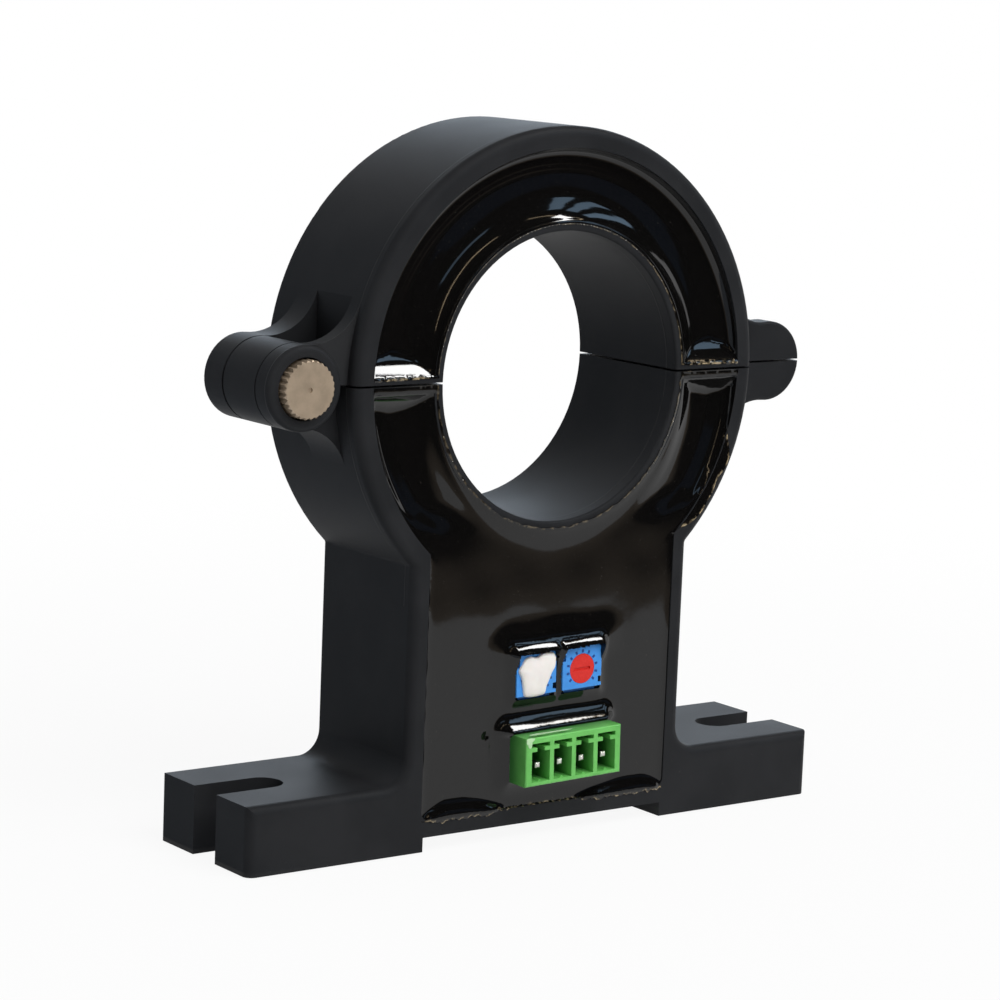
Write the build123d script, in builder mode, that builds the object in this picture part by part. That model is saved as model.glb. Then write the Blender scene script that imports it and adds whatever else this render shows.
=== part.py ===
from build123d import *
import os
from math import cos, radians, sin, sqrt

# A split-core Hall effect current sensor. A round sensing ring stands on a stem with two slotted
# feet. The ring parts on a level plane through the middle of its bore: its upper half swings up on
# a knurled pin in the left-hand barrel, and a screw in the right-hand lug holds it shut. The
# housing halves are moulded trays, open at the front and filled with black resin, from which a
# pluggable header and two trimmers look out.
#
# Frame: +X to the right along the feet, +Y to the back, +Z up. The origin is on the plane under
# the feet, below the middle of the bore and halfway between the housing's front and back.

# Bore and ring
bore_d = 40.0
bore_wall = 1.5
trough_width = 9.8
ring_wall = 2.9
depth = 22.0
back_wall = 1.8
centre_height = 64.3
parting_gap = 0.3
end_wall = 1.0

# Stem and feet
stem_width = 47.4
stem_wall = 2.6
base_length = 97.5
foot_height = 9.5
foot_fillet = 3.5
ring_root_round = 0.6
relief_width = 41.4
relief_height = 2.0
window_sill = 4.4
window_corner = 1.2
slot_width = 5.6
slot_length = 11.8

# Rounded edges
rim_round = 1.3
back_round = 0.5
bore_round = 0.4
knuckle_round = 0.7
lug_round = 0.5

# Lugs at the parting plane: places along the depth are measured from the housing's front
lug_out = 6.95
lug_d = 11.5
web_hollow_r = 7.8
lug_in = 4.5
lug_length = 12.6
front_knuckle_in = 1.3
middle_knuckle_in = 4.7
middle_knuckle_length = 7.6
front_knuckle_gap = 0.25
back_knuckle_gap = 0.4
flat_depth = 2.0

# Hinge pin
pin_d = 4.0
pin_head_d = 7.9
pin_head_length = 3.2
pin_head_proud = 1.1
pin_teeth = 30
pin_tooth_depth = 0.32
pin_head_chamfer = 0.25
pin_fit = 0.05
pin_press_fit = 0.01
head_fit = 0.25
dimple_d = 0.7
dimple_depth = 0.2

# Closing screw and its threaded insert
screw_d = 3.0
screw_point_chamfer = 0.3
screw_head_d = 5.4
screw_head_height = 2.6
screw_socket_width = 2.5
screw_socket_depth = 1.3
screw_reach = 3.8
screw_floor = 1.9
screw_fit = 0.1
screw_head_fit = 0.3
insert_fit = 0.2
insert_wall = 0.6
insert_length = 4.0

# Resin
resin_below_rim = 0.3
hollow_depth = 2.6
hollow_edge = 0.2
hollow_tilt = 7.5
bar_r = 5.0

# Magnetic core and Hall elements
core_width = 7.0
core_inner_gap = 0.9
core_depth = 15.0
core_back_gap = 0.8
hall_length = 4.1
hall_depth = 3.2
hall_thickness = 1.0
lead_thickness = 0.6
lead_width = 2.4
lead_wall_gap = 0.7
lead_window_gap = 2.45
lead_lap = 5.0

# Circuit board and what it carries
board_side_gap = 1.1
board_low_gap = 2.1
board_top_gap = 1.4
board_thickness = 1.6
board_in = 5.0
board_tilt = 1.5
chip_length = 8.7
chip_width = 3.9
chip_height = 1.5
chip_edge = 0.3
chip_in = 8.5
chip_drop = 5.5
chip_lead_count = 7
chip_lead_pitch = 1.27
chip_lead_reach = 1.1
chip_lead_width = 0.4
chip_lead_height = 0.5

# Header
pole_count = 4
pole_pitch = 3.81
header_end_wall = 1.0
chamber_width = 3.1
header_height = 6.85
header_depth = 9.3
header_round = 0.25
header_floor = 0.6
header_x = 1.2
header_rise = 5.4
chamber_height = 4.3
chamber_depth = 7.4
key_tab = 0.9
key_tab_height = 0.55
key_slot_height = 0.6
floor_ridge_width = 0.6
floor_ridge_height = 0.3
contact_size = 0.8
contact_rise = 2.75
contact_recess = 0.6
contact_tail = 2.4
contact_point = 0.2

# Trimmers
trimmer_width = 6.8
trimmer_height = 6.6
trimmer_depth = 5.5
trimmer_corner = 0.55
trimmer_notch = 0.55
trimmer_notch_height = 0.9
trimmer_notch_low = 1.0
trimmer_notch_high = 4.6
trimmer_ledge = 0.55
trimmer_ledge_back = 0.7
trimmer_spacing = 7.95
trimmer_pair_x = 1.3
trimmer_rise = 16.55
rotor_d = 4.2
rotor_fit = 0.05
rotor_recess = 0.9
rotor_slot_width = 0.4
rotor_slot_length = 2.8
rotor_slot_depth = 0.2
leg_d = 0.5
leg_tail = 1.2
leg_spread = 2.54

# Glue over the left trimmer: its outline is measured from the trimmer's middle
glue_outline = (
    (-3.3, 2.6),
    (-4.0, 1.4),
    (-3.0, -2.5),
    (0.4, -2.7),
    (1.4, -0.4),
    (2.5, 0.8),
    (2.0, 2.9),
    (-0.7, 2.7),
)
glue_thickness = 0.9
glue_edge = 0.35

# Worked out from the sizes above
bore_r = bore_d / 2
trough_inner_r = bore_r + bore_wall
trough_outer_r = trough_inner_r + trough_width
ring_r = trough_outer_r + ring_wall
lug_reach = ring_r + lug_out
lug_r = lug_d / 2
front = -depth / 2
back = depth / 2
lug_front = front + lug_in
lug_back = lug_front + lug_length
front_knuckle_start = front + front_knuckle_in
middle_knuckle_start = front + middle_knuckle_in
middle_knuckle_end = middle_knuckle_start + middle_knuckle_length
board_face = front + board_in
floor = back - back_wall
lower_top = centre_height - parting_gap / 2
upper_bottom = centre_height + parting_gap / 2
lower_fill_top = lower_top - end_wall
upper_fill_bottom = upper_bottom + end_wall
window_width = stem_width - 2 * stem_wall
resin_face = front + resin_below_rim
past = 5.0
insert_bore_d = screw_d + 2 * insert_fit
insert_d = insert_bore_d + 2 * insert_wall
core_inner_r = trough_inner_r + core_inner_gap
core_outer_r = core_inner_r + core_width
core_back = floor - core_back_gap
core_middle_r = (core_inner_r + core_outer_r) / 2
board_low = window_sill + board_low_gap
board_top = centre_height - core_outer_r - board_top_gap
board_width = window_width - 2 * board_side_gap
board_height = board_top - board_low
board_centre_z = (board_top + board_low) / 2
header_y = header_rise - board_height / 2
trimmer_y = trimmer_rise - board_height / 2
chip_x = chip_in - board_width / 2
chip_y = board_height / 2 - chip_drop


def facing_front(y):
    """A plane at depth y that looks to the front: its x is +X and its y is +Z."""
    return Plane(origin=(0, y, 0), x_dir=(1, 0, 0), z_dir=(0, -1, 0))


def half_disc(radius, end, upper):
    """Adds a disc about the bore's axis to the sketch, cut off at height end."""
    with Locations((0, centre_height)):
        Circle(radius)
    side = Align.MAX if upper else Align.MIN
    with Locations((0, end)):
        Rectangle(4 * radius, 2 * radius, align=(Align.CENTER, side), mode=Mode.SUBTRACT)


def web_outline(side, upper):
    """Adds the web that joins a lug to the ring, with its hollow outer curve, to the sketch."""
    turn = 1 if upper else -1
    start = upper_bottom if upper else lower_top
    knuckle_reach = lug_r + web_hollow_r
    ring_reach = ring_r + web_hollow_r
    along = (lug_reach**2 + ring_reach**2 - knuckle_reach**2) / (2 * lug_reach)
    rise = sqrt(ring_reach**2 - along**2)
    hollow = (side * along, centre_height + turn * rise)
    on_knuckle = (
        side * (lug_reach + (along - lug_reach) * lug_r / knuckle_reach),
        centre_height + turn * rise * lug_r / knuckle_reach,
    )
    on_ring = (side * along * ring_r / ring_reach, centre_height + turn * rise * ring_r / ring_reach)
    inside = on_ring[0] * (trough_outer_r + ring_wall / 2) / ring_r
    Polygon(
        (side * lug_reach, start),
        on_knuckle,
        hollow,
        on_ring,
        (inside, on_ring[1]),
        (side * (trough_outer_r + ring_wall / 2), start),
        align=None,
    )
    with Locations(hollow):
        Circle(web_hollow_r, mode=Mode.SUBTRACT)


def knuckle_outline(upper):
    """Adds a full barrel knuckle on the left with its web to the sketch."""
    web_outline(-1, upper)
    with Locations((-lug_reach, centre_height)):
        Circle(lug_r)


def half_lug_outline(upper):
    """Adds half of the round-ended lug on the right to the sketch, up to the parting plane."""
    with Locations((lug_reach, centre_height)):
        Circle(lug_r)
    web_outline(1, upper)
    end = upper_bottom if upper else lower_top
    side = Align.MAX if upper else Align.MIN
    with Locations((lug_reach, end)):
        Rectangle(4 * lug_r, 4 * lug_r, align=(Align.CENTER, side), mode=Mode.SUBTRACT)


def round_edges_at(y, radius):
    """The part's round edges of that radius on the plane at depth y."""
    found = edges().filter_by(GeomType.CIRCLE).filter_by(lambda e: abs(e.radius - radius) < 0.01)
    return found.filter_by(lambda e: abs((e @ 0.5).Y - y) < 0.01)


lug_middle = (lug_front + lug_back) / 2
screw_seat = centre_height + screw_floor

# Lower housing: half ring, stem, feet, the barrel's middle knuckle and the lower half of the lug
with BuildPart() as lower_housing:
    with BuildSketch(facing_front(back)):
        half_disc(ring_r, lower_top, upper=False)
        Rectangle(stem_width, centre_height - bore_r, align=(Align.CENTER, Align.MIN))
        Rectangle(base_length, foot_height, align=(Align.CENTER, Align.MIN))
        inner_corners = [
            v for v in vertices() if abs(v.Y - foot_height) < 0.01 and abs(v.X) < stem_width
        ]
        fillet(inner_corners, radius=foot_fillet)
        side_corners = vertices().filter_by(lambda v: abs(abs(v.X) - stem_width / 2) < 0.01)
        fillet(side_corners.group_by(Axis.Y)[-1], radius=ring_root_round)
    extrude(amount=depth)
    front_edges = faces().sort_by(Axis.Y)[0].outer_wire().edges()
    rim_edges = [e for e in front_edges if 0.1 < (e @ 0.5).Z < lower_top - 0.1]
    fillet(rim_edges, radius=rim_round)
    back_edges = faces().sort_by(Axis.Y)[-1].outer_wire().edges()
    fillet([e for e in back_edges if 0.1 < (e @ 0.5).Z < lower_top - 0.1], radius=back_round)
    with BuildSketch(facing_front(middle_knuckle_end)):
        knuckle_outline(upper=False)
    extrude(amount=middle_knuckle_end - middle_knuckle_start)
    with BuildSketch(facing_front(lug_back)):
        half_lug_outline(upper=False)
    extrude(amount=lug_back - lug_front)
    with BuildSketch(facing_front(floor)):
        half_disc(trough_outer_r, lower_fill_top, upper=False)
        with Locations((0, window_sill)):
            Rectangle(
                window_width, centre_height - bore_r - window_sill, align=(Align.CENTER, Align.MIN)
            )
        fillet(vertices().group_by(Axis.Y)[0], radius=window_corner)
        with Locations((0, centre_height)):
            Circle(trough_inner_r, mode=Mode.SUBTRACT)
    extrude(amount=depth, mode=Mode.SUBTRACT)
    with BuildSketch(facing_front(back + past)):
        with Locations((0, centre_height)):
            Circle(bore_r)
        with Locations((-lug_reach, centre_height)):
            Circle(pin_d / 2 + pin_press_fit)
    extrude(amount=depth + 2 * past, mode=Mode.SUBTRACT)
    with BuildSketch(Plane.XY):
        Rectangle(relief_width, depth + 2 * past)
    extrude(amount=relief_height, mode=Mode.SUBTRACT)
    with BuildSketch(Plane.XY):
        for side in (-1, 1):
            slot_end = side * (base_length / 2 - slot_length + slot_width / 2)
            with Locations((slot_end, 0)):
                Circle(slot_width / 2)
            with Locations((slot_end + side * slot_length / 2, 0)):
                Rectangle(slot_length, slot_width)
    extrude(amount=foot_height, mode=Mode.SUBTRACT)
    with Locations((lug_reach, lug_middle, lower_top)):
        Hole(radius=insert_d / 2, depth=insert_length)
    fillet(round_edges_at(front, bore_r), radius=bore_round)
    fillet(round_edges_at(lug_front, lug_r), radius=lug_round)
lower_housing.part.label = "lower_housing"

# Upper housing: half ring, the barrel's front and back knuckles and the upper half of the lug
back_knuckle_start = middle_knuckle_end + back_knuckle_gap
front_knuckle_end = middle_knuckle_start - front_knuckle_gap
with BuildPart() as front_knuckle:
    with BuildSketch(facing_front(front_knuckle_end)):
        with Locations((-lug_reach, centre_height)):
            Circle(lug_r)
    extrude(amount=front_knuckle_end - front_knuckle_start)
    fillet(round_edges_at(front_knuckle_start, lug_r), radius=knuckle_round)

with BuildPart() as upper_housing:
    with BuildSketch(facing_front(back)):
        half_disc(ring_r, upper_bottom, upper=True)
    extrude(amount=depth)
    front_edges = faces().sort_by(Axis.Y)[0].outer_wire().edges()
    fillet([e for e in front_edges if (e @ 0.5).Z > upper_bottom + 0.1], radius=rim_round)
    back_edges = faces().sort_by(Axis.Y)[-1].outer_wire().edges()
    fillet([e for e in back_edges if (e @ 0.5).Z > upper_bottom + 0.1], radius=back_round)
    for start, end in (
        (front_knuckle_start + knuckle_round, front_knuckle_end),
        (back_knuckle_start, lug_back),
    ):
        with BuildSketch(facing_front(end)):
            knuckle_outline(upper=True)
        extrude(amount=end - start)
    add(front_knuckle.part)
    with BuildSketch(facing_front(back_knuckle_start)):
        with Locations((-ring_r + flat_depth, upper_bottom)):
            Rectangle(ring_r, ring_r, align=(Align.MAX, Align.MIN))
    extrude(amount=back_knuckle_start - front_knuckle_end, mode=Mode.SUBTRACT)
    with BuildSketch(facing_front(lug_back)):
        half_lug_outline(upper=True)
    extrude(amount=lug_back - lug_front)
    with BuildSketch(facing_front(floor)):
        half_disc(trough_outer_r, upper_fill_bottom, upper=True)
        with Locations((0, centre_height)):
            Circle(trough_inner_r, mode=Mode.SUBTRACT)
    extrude(amount=depth, mode=Mode.SUBTRACT)
    with BuildSketch(facing_front(back + past)):
        with Locations((0, centre_height)):
            Circle(bore_r)
        with Locations((-lug_reach, centre_height)):
            Circle(pin_d / 2 + pin_fit)
    extrude(amount=depth + 2 * past, mode=Mode.SUBTRACT)
    with BuildSketch(facing_front(front_knuckle_start - pin_head_proud + pin_head_length + head_fit)):
        with Locations((-lug_reach, centre_height)):
            Circle(pin_head_d / 2 + head_fit)
    extrude(amount=past, mode=Mode.SUBTRACT)
    with Locations((lug_reach, lug_middle, upper_bottom)):
        Cylinder(
            screw_d / 2 + screw_fit, lug_d, align=(Align.CENTER, Align.CENTER, Align.MIN),
            mode=Mode.SUBTRACT,
        )
    with Locations((lug_reach, lug_middle, screw_seat)):
        Cylinder(
            screw_head_d / 2 + screw_head_fit, lug_d, align=(Align.CENTER, Align.CENTER, Align.MIN),
            mode=Mode.SUBTRACT,
        )
    fillet(round_edges_at(front, bore_r), radius=bore_round)
    fillet(round_edges_at(lug_front, lug_r), radius=lug_round)
upper_housing.part.label = "upper_housing"

# The channel sunk in the resin all round the ring, and the rounded bar left across it where the
# ring parts. In the lower half the channel's plane leans forward, so it runs out into the stem.
hollow_half_width = trough_width / 2 - hollow_edge
hollow_middle_r = trough_inner_r + trough_width / 2
hollow_tube_r = (hollow_half_width**2 + hollow_depth**2) / (2 * hollow_depth)
hollow_tube_y = resin_face + hollow_depth - hollow_tube_r
hollows = {}
for name, lean in (("upper", 0), ("lower", radians(hollow_tilt))):
    hollow_plane = Plane(
        origin=(0, hollow_tube_y, centre_height),
        x_dir=(1, 0, 0),
        z_dir=(0, -cos(lean), sin(lean)),
    )
    with BuildPart() as hollow:
        with Locations(hollow_plane):
            Torus(hollow_middle_r, hollow_tube_r)
        with Locations((0, resin_face + bar_r, centre_height)):
            Cylinder(bar_r, 4 * ring_r, rotation=(0, 90, 0), mode=Mode.SUBTRACT)
    hollows[name] = hollow

# Magnetic core halves, a split ring of square section
with BuildPart() as upper_core:
    with BuildSketch(facing_front(core_back)):
        half_disc(core_outer_r, upper_fill_bottom, upper=True)
        with Locations((0, centre_height)):
            Circle(core_inner_r, mode=Mode.SUBTRACT)
    extrude(amount=core_depth)
upper_core.part.label = "upper_core"

with BuildPart() as lower_core:
    with BuildSketch(facing_front(core_back)):
        half_disc(core_outer_r, lower_fill_top - hall_thickness, upper=False)
        with Locations((0, centre_height)):
            Circle(core_inner_r, mode=Mode.SUBTRACT)
    extrude(amount=core_depth)
lower_core.part.label = "lower_core"

# Hall elements, flat in the two gaps between the core's halves, and the leads to the board
board_back = board_face + board_thickness
hall_y = board_back + lead_width / 2
halls = {}
leads = {}
for name, side in (("left", -1), ("right", 1)):
    with BuildPart() as element:
        with Locations((side * core_middle_r, hall_y, lower_fill_top - hall_thickness / 2)):
            Box(hall_length, hall_depth, hall_thickness)
    element.part.label = name + "_hall_element"
    halls[name] = element

    lead_outer_r = trough_outer_r - lead_wall_gap
    lead_inner_r = lead_outer_r - lead_thickness
    lead_middle_r = lead_inner_r + lead_thickness / 2
    turn_x = window_width / 2 - lead_window_gap
    turn_z = centre_height - sqrt(lead_middle_r**2 - turn_x**2)
    lead_end_z = board_top - lead_lap
    with BuildPart() as strip:
        with BuildSketch(facing_front(board_back + lead_width)):
            with Locations((0, centre_height)):
                Circle(lead_outer_r)
                Circle(lead_inner_r, mode=Mode.SUBTRACT)
            with Locations((0, turn_z)):
                Rectangle(
                    4 * ring_r, 2 * ring_r, align=(Align.CENTER, Align.MAX), mode=Mode.SUBTRACT
                )
            with Locations((0, lower_fill_top - hall_thickness / 2 + lead_thickness / 2)):
                Rectangle(
                    4 * ring_r, 2 * ring_r, align=(Align.CENTER, Align.MIN), mode=Mode.SUBTRACT
                )
            with Locations((-side * 2 * ring_r, centre_height)):
                Rectangle(4 * ring_r, 4 * ring_r, mode=Mode.SUBTRACT)
            with Locations((side * (core_middle_r + hall_length / 2), lower_fill_top)):
                hall_to_arc = lead_middle_r - core_middle_r - hall_length / 2
                lead_align = (Align.MAX if side < 0 else Align.MIN, Align.CENTER)
                with Locations((0, -hall_thickness / 2)):
                    Rectangle(hall_to_arc, lead_thickness, align=lead_align)
            with Locations((side * turn_x, lead_end_z)):
                Rectangle(
                    lead_thickness, turn_z + lead_thickness - lead_end_z,
                    align=(Align.CENTER, Align.MIN),
                )
        extrude(amount=lead_width)
    strip.part.label = name + "_hall_leads"
    leads[name] = strip

# Circuit board, tilted a little in its window, with a chip on its front face
board_plane = Plane(
    origin=(0, board_face, board_centre_z),
    x_dir=(cos(radians(board_tilt)), 0, sin(radians(board_tilt))),
    z_dir=(0, -1, 0),
)
with BuildPart() as amplifier_chip:
    with BuildSketch(board_plane):
        with Locations((chip_x, chip_y)):
            Rectangle(chip_length, chip_width)
    extrude(amount=chip_height)
    chamfer(faces().sort_by(Axis.Y)[0].edges(), length=chip_edge)
    for side in (-1, 1):
        with BuildSketch(board_plane):
            with Locations((chip_x, chip_y + side * (chip_width + chip_lead_reach) / 2)):
                with GridLocations(chip_lead_pitch, 1, chip_lead_count, 1):
                    Rectangle(chip_lead_width, chip_lead_reach)
        extrude(amount=chip_lead_height)
amplifier_chip.part.label = "amplifier_chip"

# Header: a row of open chambers, each keyed by a T-shaped notch over its contact
header_width = (pole_count - 1) * pole_pitch + chamber_width + 2 * header_end_wall
header_low = header_y - header_height / 2
chamber_middle = header_low + header_floor + chamber_height / 2
chamber_top = header_low + header_floor + chamber_height
header_front_plane = board_plane.offset(header_depth)
with BuildPart() as header_body:
    with BuildSketch(board_plane):
        with Locations((header_x, header_y)):
            Rectangle(header_width, header_height)
    extrude(amount=header_depth)
    fillet(faces().sort_by(Axis.Y)[0].edges(), radius=header_round)
    with BuildSketch(header_front_plane):
        with Locations((header_x, chamber_middle)):
            with GridLocations(pole_pitch, 1, pole_count, 1):
                Rectangle(chamber_width, chamber_height)
        with Locations((header_x, chamber_top + key_tab_height / 2)):
            with GridLocations(pole_pitch, 1, pole_count, 1):
                Rectangle(chamber_width - 2 * key_tab, key_tab_height)
        with Locations((header_x, chamber_top + key_tab_height + key_slot_height / 2)):
            with GridLocations(pole_pitch, 1, pole_count, 1):
                Rectangle(chamber_width, key_slot_height)
    extrude(amount=-chamber_depth, mode=Mode.SUBTRACT)
    with BuildSketch(header_front_plane.offset(-chamber_depth)):
        with Locations((header_x, header_low + header_floor)):
            with GridLocations(pole_pitch, 1, pole_count, 1):
                Polygon(
                    (-floor_ridge_width / 2, -header_floor / 2),
                    (floor_ridge_width / 2, -header_floor / 2),
                    (floor_ridge_width / 2, 0),
                    (0, floor_ridge_height),
                    (-floor_ridge_width / 2, 0),
                    align=None,
                )
    extrude(amount=chamber_depth - header_round)
    with BuildSketch(board_plane):
        with Locations((header_x, header_low + contact_rise)):
            with GridLocations(pole_pitch, 1, pole_count, 1):
                Rectangle(contact_size, contact_size)
    extrude(amount=header_depth, mode=Mode.SUBTRACT)
header_body.part.label = "header_body"

contacts = []
for number in range(pole_count):
    contact_x = header_x + (number - (pole_count - 1) / 2) * pole_pitch
    with BuildPart() as contact:
        with BuildSketch(board_plane.offset(-board_thickness - contact_tail)):
            with Locations((contact_x, header_low + contact_rise)):
                Rectangle(contact_size, contact_size)
        extrude(amount=contact_tail + board_thickness + header_depth - contact_recess)
        chamfer(faces().sort_by(Axis.Y)[0].edges(), length=contact_point)
        chamfer(faces().sort_by(Axis.Y)[-1].edges(), length=contact_point)
    contact.part.label = "header_pin_" + str(number + 1)
    contacts.append(contact)

# Trimmers side by side above the header
trimmer_bodies = {}
trimmer_rotors = {}
rotor_front_plane = board_plane.offset(trimmer_depth)
for name, side in (("left", -1), ("right", 1)):
    trimmer_x = trimmer_pair_x + side * trimmer_spacing / 2
    with BuildPart() as body:
        with BuildSketch(board_plane):
            with Locations((trimmer_x, trimmer_y)):
                Rectangle(trimmer_width, trimmer_height)
            chamfer(vertices(), length=trimmer_corner)
            notch_low = trimmer_y - trimmer_height / 2 + trimmer_notch_low
            notch_high = trimmer_y - trimmer_height / 2 + trimmer_notch_high
            for notch_side, notch_y in ((-1, notch_high), (1, notch_low)):
                with Locations((trimmer_x + notch_side * trimmer_width / 2, notch_y)):
                    Rectangle(
                        2 * trimmer_notch, trimmer_notch_height,
                        align=(Align.CENTER, Align.MIN), mode=Mode.SUBTRACT,
                    )
        extrude(amount=trimmer_depth)
        with BuildSketch(rotor_front_plane):
            with Locations((trimmer_x, trimmer_y - trimmer_height / 2)):
                Rectangle(
                    2 * trimmer_width, trimmer_ledge, align=(Align.CENTER, Align.MIN)
                )
        extrude(amount=-trimmer_ledge_back, mode=Mode.SUBTRACT)
        with BuildSketch(rotor_front_plane):
            with Locations((trimmer_x, trimmer_y)):
                Circle(rotor_d / 2 + rotor_fit)
        extrude(amount=-rotor_recess - rotor_fit, mode=Mode.SUBTRACT)
        with BuildSketch(board_plane):
            for leg_x, leg_y in ((-leg_spread, -leg_spread), (0, leg_spread), (leg_spread, -leg_spread)):
                with Locations((trimmer_x + leg_x, trimmer_y + leg_y)):
                    Circle(leg_d / 2)
        extrude(amount=-board_thickness - leg_tail)
    body.part.label = name + "_trimmer_body"
    trimmer_bodies[name] = body

    with BuildPart() as rotor:
        with BuildSketch(rotor_front_plane):
            with Locations((trimmer_x, trimmer_y)):
                Circle(rotor_d / 2)
        extrude(amount=-rotor_recess)
        with BuildSketch(rotor_front_plane):
            with Locations((trimmer_x, trimmer_y)):
                Rectangle(rotor_slot_length, rotor_slot_width)
        extrude(amount=-rotor_slot_depth, mode=Mode.SUBTRACT)
    rotor.part.label = name + "_trimmer_rotor"
    trimmer_rotors[name] = rotor

# Dab of glue that holds the left trimmer's setting
glue_points = [(trimmer_pair_x - trimmer_spacing / 2 + x, trimmer_y + y) for x, y in glue_outline]
with BuildPart() as sealing_glue:
    with BuildSketch(rotor_front_plane):
        with BuildLine():
            Spline(*glue_points, periodic=True)
        make_face()
    extrude(amount=glue_thickness)
    fillet(faces().sort_by(Axis.Y)[0].edges(), radius=glue_edge)
sealing_glue.part.label = "sealing_glue"

with BuildPart() as circuit_board:
    with BuildSketch(board_plane):
        Rectangle(board_width, board_height)
    extrude(amount=-board_thickness)
    for piece in contacts + list(trimmer_bodies.values()):
        add(piece.part, mode=Mode.SUBTRACT)
circuit_board.part.label = "circuit_board"

# Resin in the lower tray, with everything that is set in it cut out
lower_set_in = [lower_core, circuit_board, amplifier_chip]
lower_set_in += contacts + list(halls.values()) + list(leads.values())
lower_set_in += list(trimmer_bodies.values())
with BuildPart() as lower_potting:
    with BuildSketch(facing_front(floor)):
        half_disc(trough_outer_r, lower_fill_top, upper=False)
        with Locations((0, window_sill)):
            Rectangle(
                window_width, centre_height - bore_r - window_sill, align=(Align.CENTER, Align.MIN)
            )
        fillet(vertices().group_by(Axis.Y)[0], radius=window_corner)
        with Locations((0, centre_height)):
            Circle(trough_inner_r, mode=Mode.SUBTRACT)
    extrude(amount=floor - resin_face)
    add(hollows["lower"].part, mode=Mode.SUBTRACT)
    for piece in lower_set_in:
        add(piece.part, mode=Mode.SUBTRACT)
    with BuildSketch(board_plane):
        with Locations((header_x, header_y)):
            Rectangle(header_width, header_height)
        for name, side in (("left", -1), ("right", 1)):
            with Locations((trimmer_pair_x + side * trimmer_spacing / 2, trimmer_y)):
                Rectangle(trimmer_width - 2 * trimmer_notch, trimmer_height - 2 * trimmer_corner)
    extrude(amount=header_depth, mode=Mode.SUBTRACT)
lower_potting.part.label = "lower_potting"

with BuildPart() as upper_potting:
    with BuildSketch(facing_front(floor)):
        half_disc(trough_outer_r, upper_fill_bottom, upper=True)
        with Locations((0, centre_height)):
            Circle(trough_inner_r, mode=Mode.SUBTRACT)
    extrude(amount=floor - resin_face)
    add(hollows["upper"].part, mode=Mode.SUBTRACT)
    add(upper_core.part, mode=Mode.SUBTRACT)
upper_potting.part.label = "upper_potting"

# Hinge pin: a knurled head, a plain shank, and a centre dimple in the head's face
pin_face = front_knuckle_start - pin_head_proud
pin_head_r = pin_head_d / 2
with BuildPart() as pin_head_form:
    with BuildSketch(facing_front(pin_face + pin_head_length)):
        with Locations((-lug_reach, centre_height)):
            Circle(pin_head_r)
    extrude(amount=pin_head_length)
    chamfer(edges().group_by(Axis.Y)[0], length=pin_head_chamfer)

tooth_points = []
for step in range(2 * pin_teeth):
    tooth_r = pin_head_r - pin_tooth_depth * (step % 2)
    tooth_angle = radians(180 * step / pin_teeth)
    tooth_points.append((tooth_r * cos(tooth_angle), tooth_r * sin(tooth_angle)))
with BuildPart() as hinge_pin:
    with BuildSketch(facing_front(pin_face + pin_head_length)):
        with Locations((-lug_reach, centre_height)):
            Polygon(*tooth_points, align=None)
    extrude(amount=pin_head_length)
    add(pin_head_form.part, mode=Mode.INTERSECT)
    with BuildSketch(facing_front(lug_back)):
        with Locations((-lug_reach, centre_height)):
            Circle(pin_d / 2)
    extrude(amount=lug_back - pin_face - pin_head_length)
    with BuildSketch(facing_front(pin_face)):
        with Locations((-lug_reach, centre_height)):
            Circle(dimple_d / 2)
    extrude(amount=-dimple_depth, mode=Mode.SUBTRACT)
hinge_pin.part.label = "hinge_pin"

# Threaded insert, level with the parting plane, and the closing screw seated over it
with BuildPart() as threaded_insert:
    with Locations((lug_reach, lug_middle, lower_top)):
        Cylinder(insert_d / 2, insert_length, align=(Align.CENTER, Align.CENTER, Align.MAX))
        Cylinder(
            insert_bore_d / 2, insert_length, align=(Align.CENTER, Align.CENTER, Align.MAX),
            mode=Mode.SUBTRACT,
        )
threaded_insert.part.label = "threaded_insert"

with BuildPart() as closing_screw:
    with Locations((lug_reach, lug_middle, screw_seat)):
        Cylinder(
            screw_head_d / 2, screw_head_height, align=(Align.CENTER, Align.CENTER, Align.MIN)
        )
    chamfer(edges().group_by(Axis.Z)[-1], length=screw_point_chamfer)
    with Locations((lug_reach, lug_middle, screw_seat)):
        Cylinder(
            screw_d / 2, screw_seat - lower_top + screw_reach,
            align=(Align.CENTER, Align.CENTER, Align.MAX),
        )
    chamfer(edges().group_by(Axis.Z)[0], length=screw_point_chamfer)
    with BuildSketch(Plane.XY.offset(screw_seat + screw_head_height)):
        with Locations((lug_reach, lug_middle)):
            RegularPolygon(screw_socket_width / 2, 6, major_radius=False)
    extrude(amount=-screw_socket_depth, mode=Mode.SUBTRACT)
closing_screw.part.label = "closing_screw"

pieces = [lower_housing, upper_housing, lower_potting, upper_potting, lower_core, upper_core]
pieces += list(halls.values()) + list(leads.values())
pieces += [circuit_board, amplifier_chip, header_body] + contacts
pieces += list(trimmer_bodies.values()) + list(trimmer_rotors.values())
pieces += [sealing_glue, hinge_pin, threaded_insert, closing_screw]
os.makedirs("parts", exist_ok=True)
for piece in pieces:
    export_step(piece.part, "parts/" + piece.part.label + ".step")
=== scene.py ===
# %% [markdown]
# A split-core Hall effect sensor, dressed for a studio photograph. The solids already have the
# right shapes and sizes, so this lesson adds what solids can't say: how black plastic is grained,
# how poured resin creeps up the walls of its tray, and how light slides along a wet-looking edge.
# Everything is in metres, with +Z up, the potted face towards -Y and the origin under the feet.

import math
from functools import partialmethod

import bmesh
import bpy
import numpy as np
from mathutils import Matrix, Vector


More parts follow.
